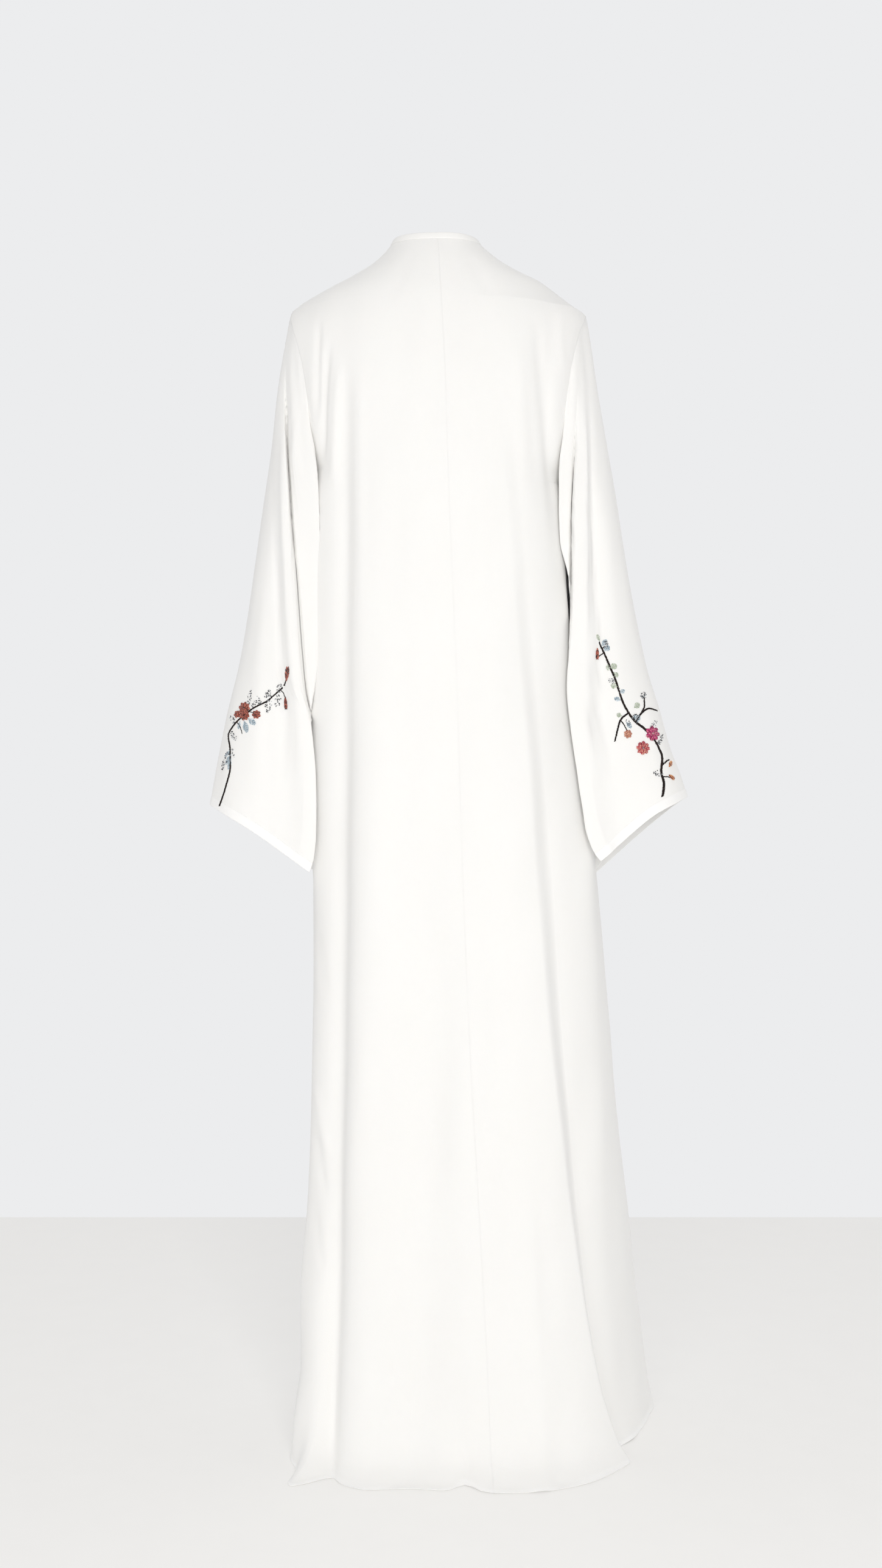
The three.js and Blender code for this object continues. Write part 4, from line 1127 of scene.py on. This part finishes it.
# Rounds of petals: their share of the radius, how high they lie, and their turn in half petals.
PETAL_ROUNDS = ((1, 0, 0), (0.66, 0.8, 1))
HEART = SimpleNamespace(beads=7, size=1.3, lift=1.5, share=0.2)
BUD = SimpleNamespace(
    step=1.1, end=0.86, foot=0.12, fullness=0.8, lead=0.16, cross=0.3, thread=1.15, height=0.9, lift=0.2,
    uneven=(0.85, 1.15), least_stitches=5,
)
BEAD = SimpleNamespace(least=1.0, most=1.75, height=0.85, width=0.95)
SPRIG = SimpleNamespace(tries=12, apart=0.95, foot=0.15, fullness=0.75, jet_share=0.5)
RAY_START = 400

# One blob stands for a stitch, bead or sequin: shares of its half length and of its half width.
BLOB_RINGS = ((-0.66, 0.75), (0, 1), (0.66, 0.75))
BLOB_SIDES = 6
BLOB_SINK = 0.12


def blob_template():
    turns = np.arange(BLOB_SIDES) * 2 * pi / BLOB_SIDES
    rings = [(along, wide * np.cos(t), wide * np.sin(t)) for along, wide in BLOB_RINGS for t in turns]
    points = np.array([(-1, 0, 0), *rings, (1, 0, 0)])
    faces = []
    last = len(points) - 1
    for k in range(BLOB_SIDES):
        following = (k + 1) % BLOB_SIDES
        faces.append([0, 1 + following, 1 + k])
        faces.append([last, last - BLOB_SIDES + k, last - BLOB_SIDES + following])
        for ring in range(len(BLOB_RINGS) - 1):
            low, high = 1 + ring * BLOB_SIDES, 1 + (ring + 1) * BLOB_SIDES
            faces.append([low + k, low + following, high + following, high + k])
    return points, np.array([face + [-1] * (4 - len(face)) for face in faces])


class Needlework:
    """Stitches, beads and sequins that lie on the outside of one piece of cloth, sorted by finish."""

    def __init__(self, cloth=None, seed=0):
        self.random = np.random.default_rng(seed)
        self.blobs = {}
        if cloth is not None:
            grid = np.hstack([cloth.outer, cloth.outer[:, :1]])
            ids = np.arange(grid[..., 0].size).reshape(grid.shape[:2])
            self.ground = BVHTree.FromPolygons(grid.reshape(-1, 3).tolist(), quads(ids))

    def on_cloth(self, place):
        """The point of the cloth at a place across and up, and the way it faces."""
        across, up = place
        point, normal, _, _ = self.ground.ray_cast(Vector((across, RAY_START, up)), Vector((0, -1, 0)))
        if point is None:
            point, normal, _, _ = self.ground.find_nearest(Vector((across, 0, up)))
        return np.array(point), np.array(normal if normal.y > 0 else -normal)

    def add(self, finish, start, end, normal, width, height, lift=0):
        """One blob from start to end, in space."""
        along = (end - start) / 2
        across = unit(np.cross(normal, along)) * width / 2
        middle = (start + end) / 2 + normal * (lift + height * (0.5 - BLOB_SINK))
        self.blobs.setdefault(finish, []).append((middle, along, across, normal * height / 2))

    def stitch(self, finish, start, end, width, height, lift=0):
        """One blob between two places on the cloth."""
        first, normal = self.on_cloth(start)
        last, other = self.on_cloth(end)
        self.add(finish, first, last, unit(normal + other), width, height, lift)

    def bead(self, finish, place, size, lift=0):
        turn = self.random.uniform(0, pi)
        half = heading(turn) * size * 0.5
        self.stitch(finish, place - half, place + half, size * BEAD.width, size * BEAD.height, lift)

    def pieces(self, name, finishes):
        """Joins the blobs of each finish into one mesh."""
        points, faces = blob_template()
        for finish, blobs in self.blobs.items():
            middle, along, across, up = (np.array(part)[:, None] for part in zip(*blobs))
            placed = middle + points[:, :1] * along + points[:, 1:2] * across + points[:, 2:] * up
            steps = np.arange(len(blobs))[:, None, None] * len(points)
            numbers = np.where(faces >= 0, faces + steps, -1).reshape(-1, 4).tolist()
            polygons = [[n for n in face if n >= 0] for face in numbers]
            material, slot = finishes[finish]
            add_object(f"{name}_{finish}", model_space(placed.reshape(-1, 3)), polygons, material)


def heading(turn):
    return np.array([np.cos(turn), np.sin(turn)])


def beside(way):
    return np.array([-way[1], way[0]])


def line_between(foot, tip):
    """The foot of a line, its direction and its length."""
    foot, tip = np.array(foot, dtype=float), np.array(tip, dtype=float)
    return foot, unit(tip - foot), np.linalg.norm(tip - foot)


def smooth_path(points, step):
    """Evenly spaced places along a smooth line through a few, with the line's directions."""
    points = np.array(points, dtype=float)
    keys = np.concatenate([[0], np.cumsum(np.linalg.norm(np.diff(points, axis=0), axis=1))])
    across, up = Curve(keys, points[:, 0]), Curve(keys, points[:, 1])
    at = np.linspace(0, keys[-1], max(3, int(keys[-1] / step)))
    path = np.stack([across(at), up(at)], axis=-1)
    return path, unit(np.gradient(path, axis=0))


def stem(work, width, points):
    """A satin stem: short stitches laid side by side at a slant, thinner towards the tip."""
    path, ways = smooth_path(points, THREAD.step)
    for k, (place, way) in enumerate(zip(path, ways)):
        taper = 1 - THREAD.taper * (k / len(path)) ** 3
        half = width / 2 * taper * work.random.uniform(*THREAD.uneven)
        middle = place + beside(way) * work.random.normal(0, THREAD.wander)
        reach = beside(way) * half + way * THREAD.slant * width / 2
        work.stitch("dark", middle - reach, middle + reach, THREAD.step + THREAD.overlap, THREAD.height)


def leaf(work, finish, foot, tip, width):
    """Two rows of slanted stitches that meet along a midrib, pointed at both ends."""
    foot, way, length = line_between(foot, tip)
    for t in np.linspace(*LEAF.run, max(LEAF.least_stitches, int(length / LEAF.step))):
        half = width / 2 * np.sin(pi * t**LEAF.skew) ** LEAF.fullness
        root = foot + way * length * t
        for sign in (-1, 1):
            out = beside(way) * sign * half * work.random.uniform(*LEAF.uneven)
            work.stitch(finish, root, root + out + way * length * LEAF.lead * (1 - t), LEAF.thread,
                        LEAF.height)
    vein = np.linspace(0, VEIN.end, max(VEIN.least_stitches, int(length / VEIN.step)))
    places = foot + way * length * vein[:, None]
    for start, end in zip(places[:-1], places[1:]):
        work.stitch(finish, start, end, VEIN.thread, VEIN.height, VEIN.lift)


def flower(work, finish, middle, radius, petals, turn):
    """Two rounds of petals in raised threads, with beads between them and at the heart."""
    middle = np.array(middle, dtype=float)
    for reach, lift, offset in PETAL_ROUNDS:
        for petal in range(petals):
            for share in np.linspace(-1, 1, PETAL.threads):
                way = heading(turn + (offset + 2 * petal + share * PETAL.spread) * pi / petals)
                far = radius * reach * (1 - PETAL.point * share**2) * work.random.uniform(*PETAL.far)
                near = radius * reach * PETAL.from_share * work.random.uniform(*PETAL.near)
                bend = (near + far) / 2
                rise = lift + PETAL.crown * (1 - share**2)
                past, short = (middle + way * bend * part for part in PETAL.overlap)
                work.stitch(finish, middle + way * near, past, PETAL.thread, PETAL.height, rise)
                work.stitch(finish, short, middle + way * far, PETAL.thread, PETAL.height,
                            rise * PETAL.settle)
    for k in range(HEART.beads):
        out = 0 if k == HEART.beads - 1 else radius * HEART.share
        place = middle + out * heading(turn + 2 * pi * k / (HEART.beads - 1))
        work.bead(finish, place, HEART.size, HEART.lift)


def bud(work, finish, foot, tip, width):
    """A closed bud of fat plaited stitches."""
    foot, way, length = line_between(foot, tip)
    for t in np.linspace(0, BUD.end, max(BUD.least_stitches, int(length / BUD.step))):
        half = width / 2 * np.sin(pi * (BUD.foot + BUD.fullness * t)) * work.random.uniform(*BUD.uneven)
        root = foot + way * length * t
        for sign in (-1, 1):
            out = beside(way) * sign
            work.stitch(finish, root - out * BUD.cross, root + out * half + way * length * BUD.lead,
                        BUD.thread, BUD.height, BUD.lift)


def sprig(work, foot, tip, width, count):
    """Seed beads scattered on both sides of a line, thickest in its middle."""
    foot, way, length = line_between(foot, tip)
    taken = []
    for _ in range(count):
        for _ in range(SPRIG.tries):
            t = work.random.uniform(0, 1)
            off = work.random.uniform(-0.5, 0.5) * width * np.sin(pi * (SPRIG.foot + SPRIG.fullness * t))
            place = foot + way * length * t + beside(way) * off
            if all(np.linalg.norm(place - other) > BEAD.least * SPRIG.apart for other in taken):
                taken.append(place)
                break
    for place in taken:
        kind = "jet" if work.random.uniform() < SPRIG.jet_share else "silver"
        work.bead(kind, place, work.random.uniform(BEAD.least, BEAD.most))


def embroider(side, cloth, finishes):
    spray = SPRAYS[side]
    work = Needlework(cloth, spray.seed)
    sewn = ((stem, spray.stems), (leaf, spray.leaves), (bud, spray.buds), (flower, spray.flowers),
            (sprig, spray.sprigs))
    for sew, rows in sewn:
        for row in rows:
            sew(work, *row)
    work.pieces(f"embroidery_{side}", finishes)


TOPSTITCH = SimpleNamespace(length=2.5, gap=0.9, width=0.36, height=0.26)


def line_at(grid, distance, place):
    """Points along the cloth at one distance from an edge, found down each column."""
    return np.array([
        [np.interp(place, distance[:, k], grid[:, k, axis]) for axis in range(3)]
        for k in range(grid.shape[1])
    ])


def topstitch(work, line, normals):
    """A row of machine stitches along a line in space."""
    run = np.concatenate([[0], np.cumsum(np.linalg.norm(np.diff(line, axis=0), axis=1))])
    pitch = TOPSTITCH.length + TOPSTITCH.gap
    starts = np.arange(pitch, run[-1] - pitch, pitch)
    at = np.concatenate([starts, starts + TOPSTITCH.length / 2, starts + TOPSTITCH.length])
    spots = np.stack([np.interp(at, run, line[:, axis]) for axis in range(3)], axis=-1)
    facing = unit(np.stack([np.interp(at, run, normals[:, axis]) for axis in range(3)], axis=-1))
    count = len(starts)
    for k in range(count):
        work.add("white", spots[k], spots[k + 2 * count], facing[k + count], TOPSTITCH.width,
                 TOPSTITCH.height)


def stitch_hems(panels, sleeves, finishes):
    """Topstitching along the cuffs and down both front edges."""
    work = Needlework()
    for side, cloth in sleeves.items():
        closed = {name: np.hstack([grid, grid[:, :1]])[::-1] for name, grid in vars(cloth).items()}
        up = distance_in(closed["outer"], 0)
        line = line_at(closed["outer"], up, HEM_WIDTH["cuff"])
        topstitch(work, line, unit(line_at(closed["facing"], up, HEM_WIDTH["cuff"])))
        front = panels["front_" + side]
        turned = {name: np.swapaxes(grid, 0, 1) for name, grid in vars(front).items()}
        inwards = distance_in(turned["outer"], 0)
        line = line_at(turned["outer"], inwards, HEM_WIDTH["front"])
        topstitch(work, line, unit(line_at(turned["facing"], inwards, HEM_WIDTH["front"])))
    work.pieces("hem_stitches", finishes)


# ---------------------------------------------------------------------------------------------------
# Materials
# ---------------------------------------------------------------------------------------------------


class Shade:
    """A socket of a material. Sums and products of shades add the Math nodes that work them out."""

    def __init__(self, paint, socket):
        self.paint = paint
        self.socket = socket

    def join(self, operation, first, second):
        return self.paint.node("ShaderNodeMath", {"operation": operation}, {0: first, 1: second})

    def __add__(self, other):
        return self.join("ADD", self, other)

    def __sub__(self, other):
        return self.join("SUBTRACT", self, other)

    def __rsub__(self, other):
        return self.join("SUBTRACT", other, self)

    def __mul__(self, other):
        return self.join("MULTIPLY", self, other)

    def __pow__(self, other):
        return self.join("POWER", self, other)

    __radd__ = __add__
    __rmul__ = __mul__


class Paint:
    """The node tree of one finish, or of the studio's world."""

    def __init__(self, name, kind="materials"):
        self.owner = getattr(bpy.data, kind).new(name)
        self.owner.use_nodes = True
        self.tree = self.owner.node_tree
        self.tree.nodes.clear()

    def node(self, kind, settings, inputs, output=0):
        """Adds a node with its settings, then its sockets' values or links, and gives one output."""
        node = self.tree.nodes.new(kind)
        stops = settings.pop("stops", ())
        for name, value in settings.items():
            setattr(node, name, value)
        for i, (place, colour) in enumerate(stops):
            stop = node.color_ramp.elements[i] if i < 2 else node.color_ramp.elements.new(place)
            stop.position = place
            stop.color = (*colour, 1)
        for name, value in inputs.items():
            if isinstance(value, Shade):
                self.tree.links.new(value.socket, node.inputs[name])
            else:
                node.inputs[name].default_value = value
        return Shade(self, node.outputs[output])

    def place(self):
        return self.node("ShaderNodeTexCoord", {}, {}, "Object")

    def stretched(self, scale):
        settings = {"vector_type": "POINT"}
        return self.node("ShaderNodeMapping", settings, {"Vector": self.place(), "Scale": scale})

    def noise(self, size, detail=2.0, scale=(1, 1, 1)):
        """Soft noise whose grains are about size metres across."""
        inputs = {"Vector": self.stretched(scale), "Scale": 1 / size, "Detail": detail}
        return self.node("ShaderNodeTexNoise", {"noise_dimensions": "3D"}, inputs)

    def mix(self, share, first, second):
        """Between two colours, either of which may itself be a shade."""
        first, second = (c if isinstance(c, Shade) else (*c, 1) for c in (first, second))
        return self.node("ShaderNodeMix", {"data_type": "RGBA"}, {0: share, 6: first, 7: second}, 2)

    def by_stitch(self, *stops):
        """A colour that each stitch, bead or sequin picks for itself."""
        pick = self.node("ShaderNodeNewGeometry", {}, {}, "Random Per Island")
        return self.node("ShaderNodeValToRGB", {"stops": stops}, {"Fac": pick})

    def bump(self, height, distance, strength):
        return self.node(
            "ShaderNodeBump", {}, {"Height": height, "Distance": distance, "Strength": strength}
        )

    def finish(self, **sockets):
        """Closes the tree with one Principled shader."""
        named = {name.replace("_", " "): value for name, value in sockets.items()}
        return self.close("Material", self.node("ShaderNodeBsdfPrincipled", {}, named))

    def close(self, kind, shader):
        output = self.tree.nodes.new("ShaderNodeOutput" + kind)
        self.tree.links.new(shader.socket, output.inputs["Surface"])
        return self.owner


# Tones of cloth and thread, each between two colours.
CREPE_TONES = ((0.90, 0.892, 0.872), (0.94, 0.934, 0.918))
HEM_TONE = (0.965, 0.962, 0.95)
BINDING_TONES = ((0.925, 0.918, 0.898), (0.955, 0.95, 0.937))
DARK_THREAD_TONES = ((0.005, 0.003, 0.003), (0.028, 0.016, 0.014))
WHITE_THREAD_TONES = ((0.86, 0.855, 0.84), (0.94, 0.935, 0.92))
FLOOR_TONES = ((0.68, 0.675, 0.665), (0.7, 0.695, 0.685))

# Sizes in metres of the grain, the pebbles and the slow clouds of tone in the crepe.
CREPE = SimpleNamespace(
    grain=0.0011, stretch=(1, 1, 0.8), detail=3, pebble=0.0028, cloud=0.09,
    rough=0.7, rough_range=0.14, relief=0.00035, bump=0.35, sheen=0.12, sheen_rough=0.5,
)

# Thin white cloth lets some light through.
CLOTH_GLOW = SimpleNamespace(weight=0.3, reach=0.0012, colour=(1, 0.97, 0.92))

# Bright threads, beads and sequins: material, slot, their dark, middle and light tones, and roughness.
BRIGHT_FINISHES = {
    "coral": (
        "coral_thread", "coral_sequins",
        (0.035, 0.006, 0.005), (0.33, 0.055, 0.032), (0.62, 0.2, 0.13), 0.3,
    ),
    "peach": (
        "peach_thread", "coral_sequins",
        (0.24, 0.05, 0.03), (0.55, 0.2, 0.12), (0.8, 0.48, 0.34), 0.3,
    ),
    "amber": (
        "amber_thread", "coral_sequins",
        (0.22, 0.045, 0.012), (0.52, 0.14, 0.035), (0.8, 0.4, 0.14), 0.3,
    ),
    "magenta": (
        "magenta_sequins", "magenta_sequins",
        (0.2, 0.002, 0.05), (0.5, 0.008, 0.16), (0.82, 0.25, 0.32), 0.16,
    ),
    "rose": (
        "rose_sequins", "magenta_sequins",
        (0.24, 0.012, 0.03), (0.52, 0.05, 0.08), (0.82, 0.42, 0.3), 0.18,
    ),
    "blue": (
        "blue_grey_thread", "pale_leaves",
        (0.24, 0.34, 0.42), (0.54, 0.64, 0.70), (0.82, 0.87, 0.90), 0.3,
    ),
    "green": (
        "pale_green_thread", "pale_leaves",
        (0.42, 0.49, 0.37), (0.6, 0.66, 0.54), (0.8, 0.83, 0.76), 0.3,
    ),
    "silver": (
        "silver_beads", "silver_beads",
        (0.09, 0.1, 0.11), (0.4, 0.42, 0.44), (0.85, 0.86, 0.87), 0.12,
    ),
    "jet": (
        "jet_beads", "silver_beads",
        (0.012, 0.014, 0.018), (0.05, 0.055, 0.065), (0.16, 0.17, 0.19), 0.1,
    ),
}
BRIGHT_STOPS = SimpleNamespace(dark=0.22, middle=0.5)


def crepe():
    """Matt white crepe: a fine pebbled grain with a very slight unevenness of tone."""
    paint = Paint("white_crepe")
    grain = paint.noise(CREPE.grain, CREPE.detail, CREPE.stretch)
    pebble = paint.noise(CREPE.pebble)
    cloud = paint.noise(CREPE.cloud)
    height = grain * 0.6 + pebble * 0.4
    single = paint.mix(cloud * 0.6 + grain * 0.4, *CREPE_TONES)
    hem = paint.node("ShaderNodeAttribute", {"attribute_name": "hem"}, {}, "Fac")
    return paint.finish(
        Base_Color=paint.mix(hem, single, HEM_TONE),
        Roughness=grain * CREPE.rough_range + CREPE.rough,
        Normal=paint.bump(height, CREPE.relief, CREPE.bump),
        Sheen_Weight=CREPE.sheen,
        Sheen_Roughness=CREPE.sheen_rough,
        Subsurface_Weight=CLOTH_GLOW.weight,
        Subsurface_Radius=CLOTH_GLOW.colour,
        Subsurface_Scale=CLOTH_GLOW.reach,
    )


def binding():
    """The same crepe cut on the bias, pressed a little smoother."""
    paint = Paint("white_binding")
    grain = paint.noise(0.0009, 3.0)
    rib = paint.node(
        "ShaderNodeTexWave", {"wave_type": "BANDS", "bands_direction": "DIAGONAL"},
        {"Vector": paint.place(), "Scale": 260, "Distortion": 1.2}, "Fac",
    )
    return paint.finish(
        Base_Color=paint.mix(grain, *BINDING_TONES),
        Roughness=grain * 0.12 + 0.66,
        Normal=paint.bump(grain * 0.6 + rib * 0.4, 0.0002, 0.3),
        Sheen_Weight=0.1,
    )


def dark_thread():
    """Near-black brown satin thread."""
    paint = Paint("dark_thread")
    grain = paint.noise(0.0006, 2.0)
    return paint.finish(
        Base_Color=paint.by_stitch(*zip((0, 1), DARK_THREAD_TONES)),
        Roughness=grain * 0.2 + 0.55,
        Specular_IOR_Level=0.2,
        Normal=paint.bump(grain, 0.0001, 0.4),
    )


def bright_thread(name, dark, middle, light, roughness):
    """Shiny thread, beads and sequins whose tones change from one to the next."""
    paint = Paint(name)
    grain = paint.noise(0.0005, 1.0)
    stops = ((0, dark), (1, light), (BRIGHT_STOPS.dark, dark), (BRIGHT_STOPS.middle, middle))
    return paint.finish(
        Base_Color=paint.by_stitch(*stops),
        Roughness=grain * 0.12 + roughness,
        Normal=paint.bump(grain, 0.00008, 0.3),
        Coat_Weight=0.35,
    )


def white_thread():
    paint = Paint("white_thread")
    twist = paint.noise(0.0004, 1.0)
    return paint.finish(Base_Color=paint.mix(twist, *WHITE_THREAD_TONES), Roughness=0.55)


def needle_finishes():
    """Each kind of thread and bead, with the slot it belongs to."""
    finishes = {"dark": (dark_thread(), "dark_thread")}
    for kind, (name, slot, *tones, roughness) in BRIGHT_FINISHES.items():
        finishes[kind] = (bright_thread(name, *tones, roughness), slot)
    finishes["white"] = (white_thread(), "crepe")
    return finishes


# ---------------------------------------------------------------------------------------------------
# Putting the garment together
# ---------------------------------------------------------------------------------------------------


def declare(piece, node):
    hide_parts(node)


def build_garment():
    cloth = crepe()
    bias = binding()
    panels = body_panels()
    for node, panel in panels.items():
        edges = ("bottom", "start") if node.startswith("front") else ("bottom",)
        declare(shell(node + "_cloth", panel, cloth, round_edges=edges), node)
    declare(neck_band(panels, bias), "neck_band")
    finishes = needle_finishes()
    sleeves = {side: sleeve_cloth(side) for side in SIGN}
    for side, sleeve in sleeves.items():
        piece = shell(f"sleeve_{side}_cloth", sleeve, cloth, closed=True, round_edges=("top",))
        declare(piece, "sleeve_" + side)
        embroider(side, sleeve, finishes)
    stitch_hems(panels, sleeves, finishes)


# ---------------------------------------------------------------------------------------------------
# Floor, light and camera
# ---------------------------------------------------------------------------------------------------

FRAME_LONG_SIDE = 2576
SENSOR = 36.0
FOCAL_PIXELS = 2603
CAMERA_DISTANCE = 2.0
CAMERA_HEIGHT = 0.806

FLOOR_CORNERS = ((-2.6, -0.95), (2.6, -0.95), (2.6, 2.4), (-2.6, 2.4))
FLOOR_CLEARANCE = 0.0005
FLOOR_GLOW = SimpleNamespace(colour=(1, 0.985, 0.96, 1), strength=0.24)

# The studio is brightest behind the garment's front, and dimmest behind the camera.
WALL_COLOUR = (0.84, 0.845, 0.855)
DIM_COLOUR = (0.56, 0.555, 0.55)
DIM_FROM, DIM_TO = -0.55, 0.5

# Two broad lamps on the camera's side, the stronger one towards the right sleeve.
LAMPS = {
    "key": SimpleNamespace(
        place=(-0.5, 2.95, -0.05), aim=(0, 0, -0.55), size=0.8, power=25, colour=(1, 0.99, 0.97),
    ),
    "fill": SimpleNamespace(
        place=(0.62, 2.8, -0.2), aim=(0, 0, -0.6), size=1.2, power=12.5, colour=(0.995, 0.99, 0.99),
    ),
}


def add_camera():
    data = bpy.data.cameras.new("camera")
    data.sensor_width = SENSOR
    data.lens = SENSOR * FOCAL_PIXELS / FRAME_LONG_SIDE
    camera = bpy.data.objects.new("camera", data)
    camera.location = (0, CAMERA_DISTANCE, CAMERA_HEIGHT - SHOULDER_HEIGHT * MM)
    camera.rotation_euler = (radians(90), 0, radians(180))
    bpy.context.scene.collection.objects.link(camera)
    bpy.context.scene.camera = camera


def add_lamp(name, lamp):
    data = bpy.data.lights.new(name, "AREA")
    data.shape = "RECTANGLE"
    data.size = data.size_y = lamp.size
    data.energy = lamp.power
    data.color = lamp.colour
    light = bpy.data.objects.new(name, data)
    light.location = lamp.place
    light.rotation_euler = (Vector(lamp.aim) - Vector(lamp.place)).to_track_quat("-Z", "Y").to_euler()
    bpy.context.scene.collection.objects.link(light)


def add_floor():
    mesh = bpy.data.meshes.new("floor")
    corners = [(x, y, 0) for x, y in FLOOR_CORNERS]
    mesh.from_pydata(corners, [], [range(len(corners))])
    floor = bpy.data.objects.new("floor", mesh)
    floor.location = (0, 0, -SHOULDER_HEIGHT * MM - FLOOR_CLEARANCE)
    bpy.context.scene.collection.objects.link(floor)
    paint = Paint("pale_floor")
    grain = paint.noise(0.05, 3.0)
    mesh.materials.append(paint.finish(
        Base_Color=paint.mix(grain, *FLOOR_TONES),
        Roughness=0.7,
        Emission_Color=FLOOR_GLOW.colour,
        Emission_Strength=FLOOR_GLOW.strength,
    ))


def add_world():
    paint = Paint("studio", "worlds")
    place = paint.node("ShaderNodeTexCoord", {}, {}, "Generated")
    backwards = paint.node("ShaderNodeSeparateXYZ", {}, {0: place}, "Y")
    share = paint.node(
        "ShaderNodeMapRange", {"interpolation_type": "SMOOTHSTEP"},
        {"Value": backwards, "From Min": DIM_FROM, "From Max": DIM_TO}, "Result",
    )
    tone = paint.mix(share, WALL_COLOUR, DIM_COLOUR)
    bpy.context.scene.world = paint.close("World", paint.node("ShaderNodeBackground", {}, {"Color": tone}))
    bpy.context.scene.view_settings.view_transform = "Standard"


def set_stage():
    add_camera()
    add_floor()
    add_world()
    for name, lamp in LAMPS.items():
        add_lamp(name, lamp)


set_stage()
build_garment()
